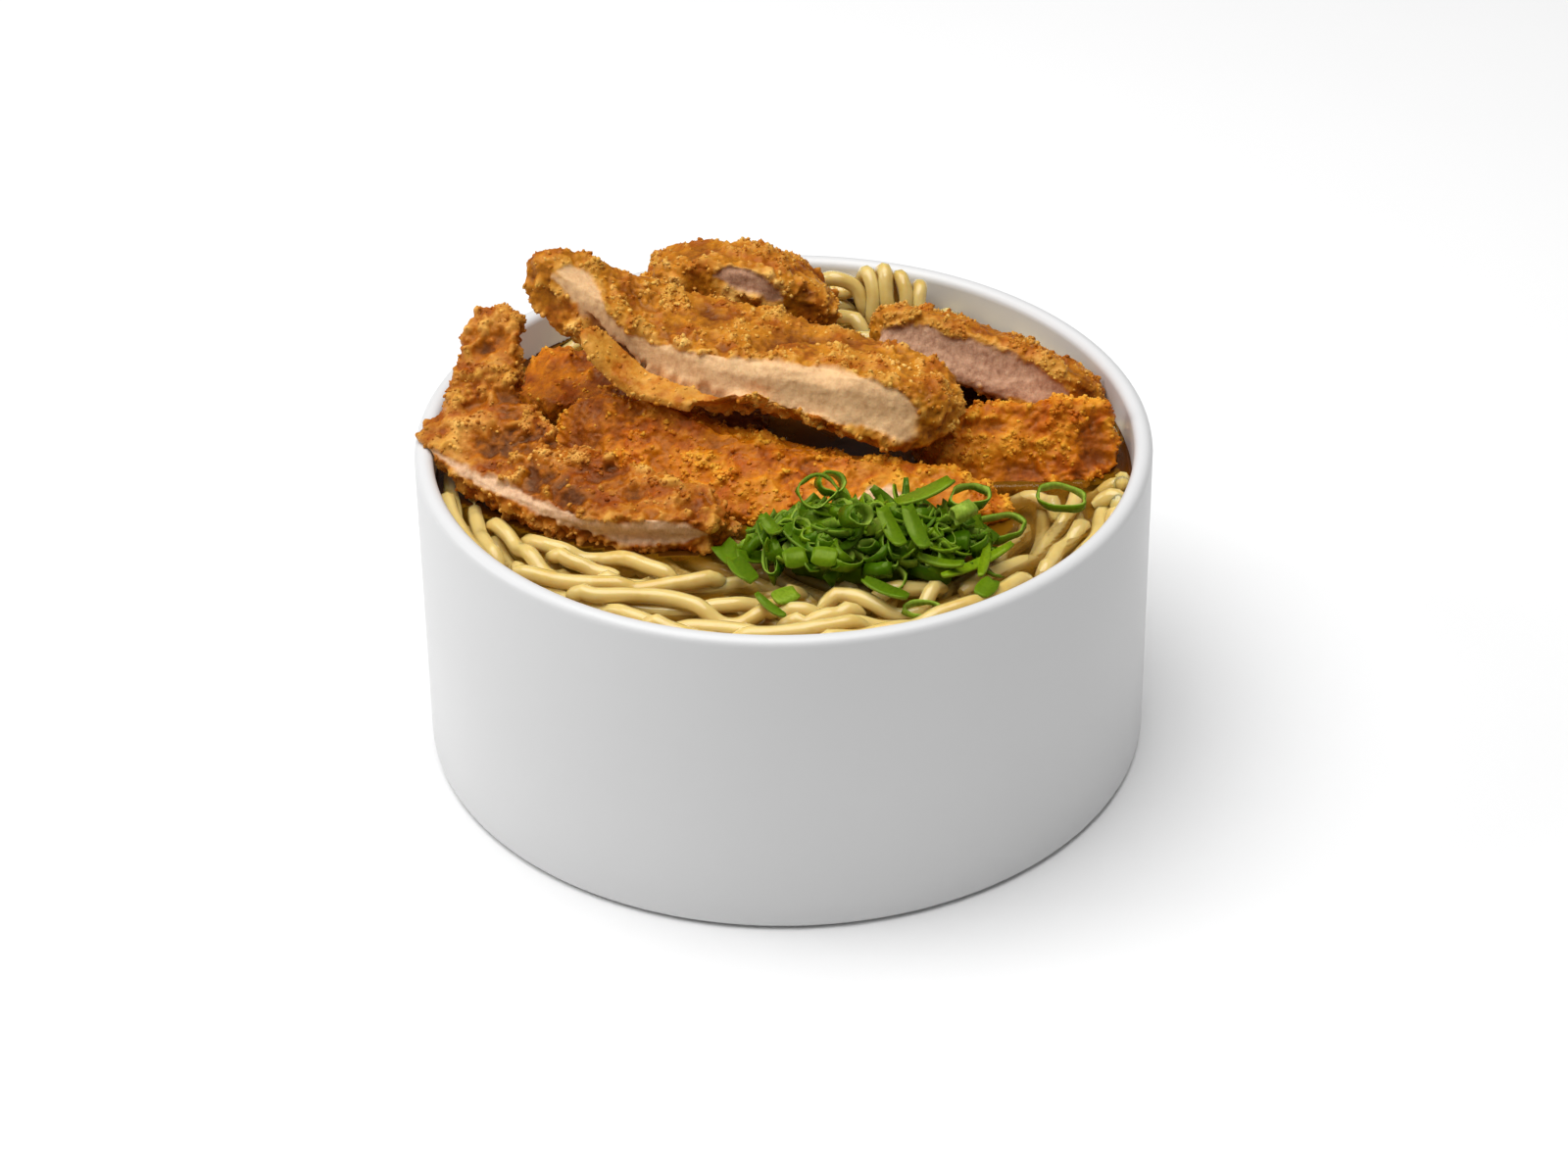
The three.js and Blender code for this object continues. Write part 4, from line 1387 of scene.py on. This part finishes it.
def broth_depth_and_shade(point, below, strips):
    """How deep the broth looks at a point, from 0 to 1; under a strip it is full, as painted shade.
    """
    depths_and_shade = [BROTH_DEEP]
    # No depth is sought under a strip, so it stays full there as painted shade
    if not strips.ray_cast(point, Vector((0, 0, 1)))[0]:
        for tree in below:
            hit = tree.ray_cast(point, Vector((0, 0, -1)), BROTH_DEEP)
            if hit[0]:
                depths_and_shade.append(hit[3])
    return min(min(depths_and_shade) / FULL_DEPTH, 1.0)


class SAIMIN_OT_broth(Operator):
    """Pours the broth up to its level, with a meniscus where it touches"""

    bl_idname = "saimin.broth"
    bl_label = "Broth"

    def execute(self, context):
        settings = context.scene.saimin_broth
        noodles = piece_tree("noodle_strands")
        core = piece_tree("noodle_core")
        strips = node_tree(*STRIPS)
        bm = broth_top()
        depths_and_shade = []
        for vert in bm.verts:
            point = vert.co.copy()
            depths_and_shade.append(broth_depth_and_shade(point, (noodles, core), strips))
            vert.co.z += meniscus_rise(point, settings.meniscus, noodles, strips)
        sunk, bottom = extruded(bm, [edge for edge in bm.edges if edge.is_boundary])
        for vert in sunk:
            vert.co.z = BROTH_LEVEL - BROTH_DEEP
            depths_and_shade.append(1.0)
        bmesh.ops.contextual_create(bm, geom=bottom)
        bmesh.ops.recalc_face_normals(bm, faces=bm.faces)
        mesh = mesh_from("broth", bm)
        write_values(mesh, "depth", depths_and_shade)
        dress(piece_of("clear_broth", mesh, broth_material(settings)), "broth", "broth")
        return {"FINISHED"}


# Spring onion

def cut_ring(radius, tall, wall, squeeze, sides=18):
    """A short piece of hollow leaf, its walls a little uneven."""
    hole = radius - wall
    corners = [(hole, -tall / 2), (radius, -tall / 2), (radius, tall / 2), (hole, tall / 2)]
    bm = turned(corners, sides, closed=True)
    young = [1.0 if v.co.xy.length < radius - wall / 2 else 0.0 for v in bm.verts]
    lean = Vector((radius, tall, wall)) * 7000
    for vert in bm.verts:
        vert.co.xy *= 1 + 0.30 * noise.noise(vert.co.normalized() * 1.2 + lean)
        vert.co.z += 0.25 * tall * noise.noise(vert.co.normalized() * 1.5 + 2 * lean)
        vert.co.y *= squeeze
    return bm, young


def leaf_strip(length, width, wall, curl, fold, taper=0.5):
    """A curled strip of leaf: it bends along its length and folds across it."""
    bm = bmesh.new()
    bmesh.ops.create_grid(bm, x_segments=8, y_segments=2, size=0.5)
    for vert in bm.verts:
        t, u = vert.co.x, vert.co.y * 2
        half = width / 2 * (1 - taper * (2 * abs(t)) ** 2.5)
        bend = curl * t
        reach = length * (math.sin(bend) / bend * t if abs(bend) > 1e-4 else t)
        rise = length * ((1 - math.cos(bend)) / bend * t if abs(bend) > 1e-4 else 0)
        vert.co = Vector((reach, u * half, rise + fold * half * abs(u) ** 2))
    bmesh.ops.solidify(bm, geom=bm.faces[:], thickness=wall)
    bmesh.ops.recalc_face_normals(bm, faces=bm.faces)
    young = [0.55 if v.index >= len(bm.verts) // 2 else 0.05 for v in bm.verts]
    return bm, young


class OnionPile:
    """Collects cut pieces into one mesh with their tones."""

    def __init__(self):
        self.points, self.faces, self.young, self.tone = [], [], [], []

    def add(self, made, placing, tone):
        """Adds a piece, which is used up, at its place and with its brightness."""
        bm, young = made
        bm.verts.index_update()
        start = len(self.points)
        self.points += [placing @ v.co for v in bm.verts]
        self.faces += [[start + v.index for v in f.verts] for f in bm.faces]
        self.young += young
        self.tone += [tone] * len(bm.verts)
        bm.free()

    def piece(self, name, material):
        """The pile as one object."""
        mesh = bpy.data.meshes.new(name)
        mesh.from_pydata(self.points, [], self.faces)
        write_values(mesh, "young", self.young)
        write_values(mesh, "tone", self.tone)
        mesh.update()
        return piece_of(name, mesh, material)


# The heap: its middle and half sizes, the share of them that its packed core fills, how its
# pieces crowd towards its edge, and the angle in radians from each to the next
HEAP_AT = Vector((17, -35, 63)) * MM
HEAP_HALF = (25 * MM, 11.5 * MM, 9.5 * MM)
HEAP_CORE = 0.64
HEAP_CROWD = 0.42
HEAP_TURN = 2.39996

# Shares of the pieces that are rings, and rings or leaves; the rest are shreds
RINGS = 0.42
RINGS_AND_LEAVES = 0.82


def heap_core(pile):
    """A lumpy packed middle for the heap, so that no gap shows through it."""
    bm = bmesh.new()
    bmesh.ops.create_icosphere(bm, subdivisions=4, radius=1.0)
    for vert in bm.verts:
        lump = 1 + 0.10 * noise.noise(vert.co * 3.3) + 0.05 * noise.noise(vert.co * 9)
        vert.co = Vector([c * half * HEAP_CORE * lump for c, half in zip(vert.co, HEAP_HALF)])
        vert.co.z = max(vert.co.z, -1.5 * MM)
    young = [0.0] * len(bm.verts)
    pile.add((bm, young), Matrix.Translation(HEAP_AT), 0.25)


def onion_bit(draw, wall):
    """One cut piece of spring onion: a ring, a square of leaf or a thin shred."""
    kind = draw.random()
    if kind < RINGS:
        radius = draw.uniform(2.2, 4.4) * MM
        return cut_ring(radius, draw.uniform(1.6, 3.8) * MM, wall * draw.uniform(0.8, 1.2),
                        draw.uniform(0.3, 0.95))
    if kind < RINGS_AND_LEAVES:
        return leaf_strip(draw.uniform(5, 9) * MM, draw.uniform(3.0, 5.2) * MM, wall,
                          draw.uniform(0.2, 1.6), draw.uniform(0.1, 0.9), taper=0.15)
    return leaf_strip(draw.uniform(9, 15) * MM, draw.uniform(1.6, 3.0) * MM, wall,
                      draw.uniform(1.2, 3.6), draw.uniform(0.0, 0.6))


class SAIMIN_OT_onion_heap(Operator):
    """Heaps the cut spring onion"""

    bl_idname = "saimin.onion_heap"
    bl_label = "Spring Onion Heap"

    def execute(self, context):
        settings = context.scene.saimin_onion
        draw = random.Random(settings.seed)
        material = onion_material(settings)
        pile = OnionPile()
        heap_core(pile)
        across, along, tall = HEAP_HALF
        for i in range(settings.pieces):
            share = ((i + 0.5) / settings.pieces) ** HEAP_CROWD
            angle = i * HEAP_TURN + draw.uniform(-0.3, 0.3)
            height = tall * math.sqrt(max(1 - share ** 2, 0)) * 0.9 + draw.uniform(0, 1.2) * MM
            spot = HEAP_AT + Vector((across * share * math.cos(angle),
                                     along * share * math.sin(angle), height + 0.6 * MM))
            pose = turn(draw.uniform(0, 360), draw.uniform(-35, 35), draw.uniform(-50, 50))
            tone = draw.random() ** 2
            pile.add(onion_bit(draw, settings.wall), Matrix.Translation(spot) @ pose, tone)
        dress(pile.piece("spring_onion_heap", material), "onion", "onion_heap")
        return {"FINISHED"}


# Cut pieces that show one by one on the heap and round it. Each is let down onto what lies
# there: a ring with its radius, height and squeeze, or a leaf with its length, width, curl and
# fold, in millimetres; then how it turns in degrees, how bright it is and how young
CUTS = (
    ("ring", (6.5, -31.5), (4.3, 1.4, 0.75), (15, 0, 48), 0.3, 0),
    ("ring", (9.6, -25.0), (3.0, 3.0, 0.8), (0, 20, 35), 0.4, 0),
    ("ring", (14.5, -42.0), (3.1, 3.6, 0.8), (30, 10, 55), 0.2, 0),
    ("leaf", (29.0, -30.0), (13, 5.0, 0.5, 0.3), (28, -8, -15), 0.75, 0),
    ("leaf", (21.5, -41.0), (11, 3.4, 1.0, 0.5), (-68, 16, 0), 0.45, 0),
    ("leaf", (26.5, -42.0), (12, 3.4, 1.0, 0.5), (-72, 16, 0), 0.35, 0),
    ("ring", (38.0, -30.5), (4.3, 2.4, 0.75), (10, 0, 12), 0.1, 0),
    ("ring", (36.3, -37.4), (1.9, 4.2, 0.9), (30, 78, 0), 1.0, 0.8),
    ("leaf", (40.5, -53.5), (6, 4.0, 0.4, 0.3), (60, 0, 10), 0.5, 0),
    ("leaf", (31.5, -46.5), (10, 2.2, 0.8, 0.3), (-20, 0, 5), 0.6, 0),
    ("ring", (27.7, -56), (4.0, 1.4, 0.62), (-10, 0, 6), 0.9, 0.5),
    ("leaf", (2.0, -46.0), (4.8, 4.4, 0.5, 0.2), (20, 0, 35), 0.5, 0),
    ("leaf", (8.0, -46.5), (5.2, 4.2, 0.5, 0.2), (-15, 0, 38), 0.6, 0),
    ("leaf", (0.0, -52.0), (5.2, 4.4, 0.3, 0.2), (30, 0, 8), 1.0, 0.3),
    ("leaf", (-2.5, -38), (8, 2.8, 1.8, 0.3), (-60, 0, 10), 0.4, 0),
)

# Leaf thickness of the loose pieces against the heap's and of a cut ring against theirs, and
# how bright the loose pieces and the shreds at the right are
LOOSE_WALL = 1.3
CUT_RING_WALL = 0.7
LOOSE_TONE = 0.35
SHRED_TONE = 1.0

# Height in metres from which the cuts are let down, and how far they settle into what they
# come to lie on
DROP_FROM = 0.1
SETTLE = 0.4 * MM


def made_cut(kind, size, wall):
    """One of the cuts, before it is turned."""
    if kind == "ring":
        return cut_ring(size[0] * MM, size[1] * MM, CUT_RING_WALL * wall, size[2], sides=26)
    return leaf_strip(size[0] * MM, size[1] * MM, wall, size[2], size[3], taper=0.3)


def let_down(made, pose, spot, ground):
    """Moves a turned piece down at a spot until one of its points would sink into the ground."""
    bm, _ = made
    clear = math.inf
    for vert in bm.verts:
        point = pose @ vert.co + Vector((spot[0] * MM, spot[1] * MM, DROP_FROM))
        hit = ground.ray_cast(point, Vector((0, 0, -1)))
        if hit[0]:
            clear = min(clear, hit[3])
    place = (spot[0] * MM, spot[1] * MM, DROP_FROM - clear - SETTLE)
    return Matrix.Translation(place) @ pose


def node_middle(name):
    """The middle of a CAD node's box."""
    low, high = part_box(name)
    return (low + high) / 2


def loose_shapes(wall):
    """The loose pieces that nodes stand for, each with the way that it is turned."""
    leaf_front = leaf_strip(9 * MM, 4.5 * MM, wall, 0.8, 0.7, 0.3)
    shreds_right = leaf_strip(19 * MM, 2.2 * MM, wall, 0.6, 0.4)
    return {
        "onion_leaf_left": (leaf_strip(8 * MM, 5 * MM, wall, 0.5, 0.5, 0.1), turn(-60, 0, 12)),
        "onion_leaf_front": (leaf_front, turn(-65, 0, -10)),
        "onion_shred_front": (leaf_strip(10 * MM, 1.8 * MM, wall, 0.7, 0.3), turn(-55, 0, 6)),
        "onion_leaf_middle": (leaf_strip(11 * MM, 3.6 * MM, wall, 0.7, 0.6), turn(-38, 0, -8)),
        "onion_ring_right": (cut_ring(5.5 * MM, 1.6 * MM, wall, 0.7, 28), turn(10, 0, 8)),
        "onion_shreds_right": (shreds_right, turn(38, 0, 8)),
        "onion_ring_wall": (cut_ring(6 * MM, 1.8 * MM, wall, 0.55, 28), turn(-25, 0, 14)),
    }


class SAIMIN_OT_loose_onion(Operator):
    """Lays the loose pieces of spring onion round the heap"""

    bl_idname = "saimin.loose_onion"
    bl_label = "Loose Spring Onion"

    def execute(self, context):
        settings = context.scene.saimin_onion
        material = bpy.data.materials["spring_onion"]
        wall = settings.wall * LOOSE_WALL
        for name, (made, pose) in loose_shapes(wall).items():
            pile = OnionPile()
            shreds = name == "onion_shreds_right"
            tone = SHRED_TONE if shreds else LOOSE_TONE
            pile.add(made, Matrix.Translation(node_middle(name)) @ pose, tone)
            if shreds:
                second = leaf_strip(12 * MM, 2 * MM, wall, 0.6, 0.3)
                spot = node_middle(name) + Vector((1.5, 0, 0.4)) * MM
                pile.add(second, Matrix.Translation(spot) @ turn(80, 0, -6), tone)
            dress(pile.piece(f"spring_{name}", material), "onion", name)
        ground = piece_tree("noodle_strands", "clear_broth", "spring_onion_heap")
        pile = OnionPile()
        for kind, spot, size, angles, tone, young in CUTS:
            bm, inner = made_cut(kind, size, wall)
            made = (bm, [max(share, young) for share in inner])
            pile.add(made, let_down(made, turn(*angles), spot, ground), tone)
        dress(pile.piece("spring_onion_cuts", material), "onion")
        return {"FINISHED"}


class SAIMIN_PT_panel(Panel):
    """Lists the steps that make the bowl of saimin"""

    bl_idname = "SAIMIN_PT_panel"
    bl_label = "Saimin Bowl"
    bl_space_type = "VIEW_3D"
    bl_region_type = "UI"
    bl_category = "Saimin"

    def draw(self, context):
        for step in STEPS:
            self.layout.operator(step.bl_idname)
        for name in SETTINGS:
            box = self.layout.box()
            group = getattr(context.scene, name)
            for key in group.bl_rna.properties.keys():
                if key not in ("rna_type", "name"):
                    box.prop(group, key)


STEPS = (SAIMIN_OT_stage, SAIMIN_OT_bowl, SAIMIN_OT_pork, SAIMIN_OT_noodles, SAIMIN_OT_broth,
         SAIMIN_OT_onion_heap, SAIMIN_OT_loose_onion)
SETTINGS = {
    "saimin_stage": SaiminStageSettings,
    "saimin_bowl": SaiminBowlSettings,
    "saimin_pork": SaiminPorkSettings,
    "saimin_noodles": SaiminNoodleSettings,
    "saimin_broth": SaiminBrothSettings,
    "saimin_onion": SaiminOnionSettings,
}
CLASSES = (*SETTINGS.values(), *STEPS, SAIMIN_PT_panel)


def register():
    for kind in CLASSES:
        bpy.utils.register_class(kind)
    for name, kind in SETTINGS.items():
        setattr(bpy.types.Scene, name, PointerProperty(type=kind))


def unregister():
    for name in SETTINGS:
        delattr(bpy.types.Scene, name)
    for kind in reversed(CLASSES):
        bpy.utils.unregister_class(kind)


def main():
    register()
    for step in STEPS:
        group, name = step.bl_idname.split(".")
        getattr(getattr(bpy.ops, group), name)()


if __name__ == "__main__":
    main()
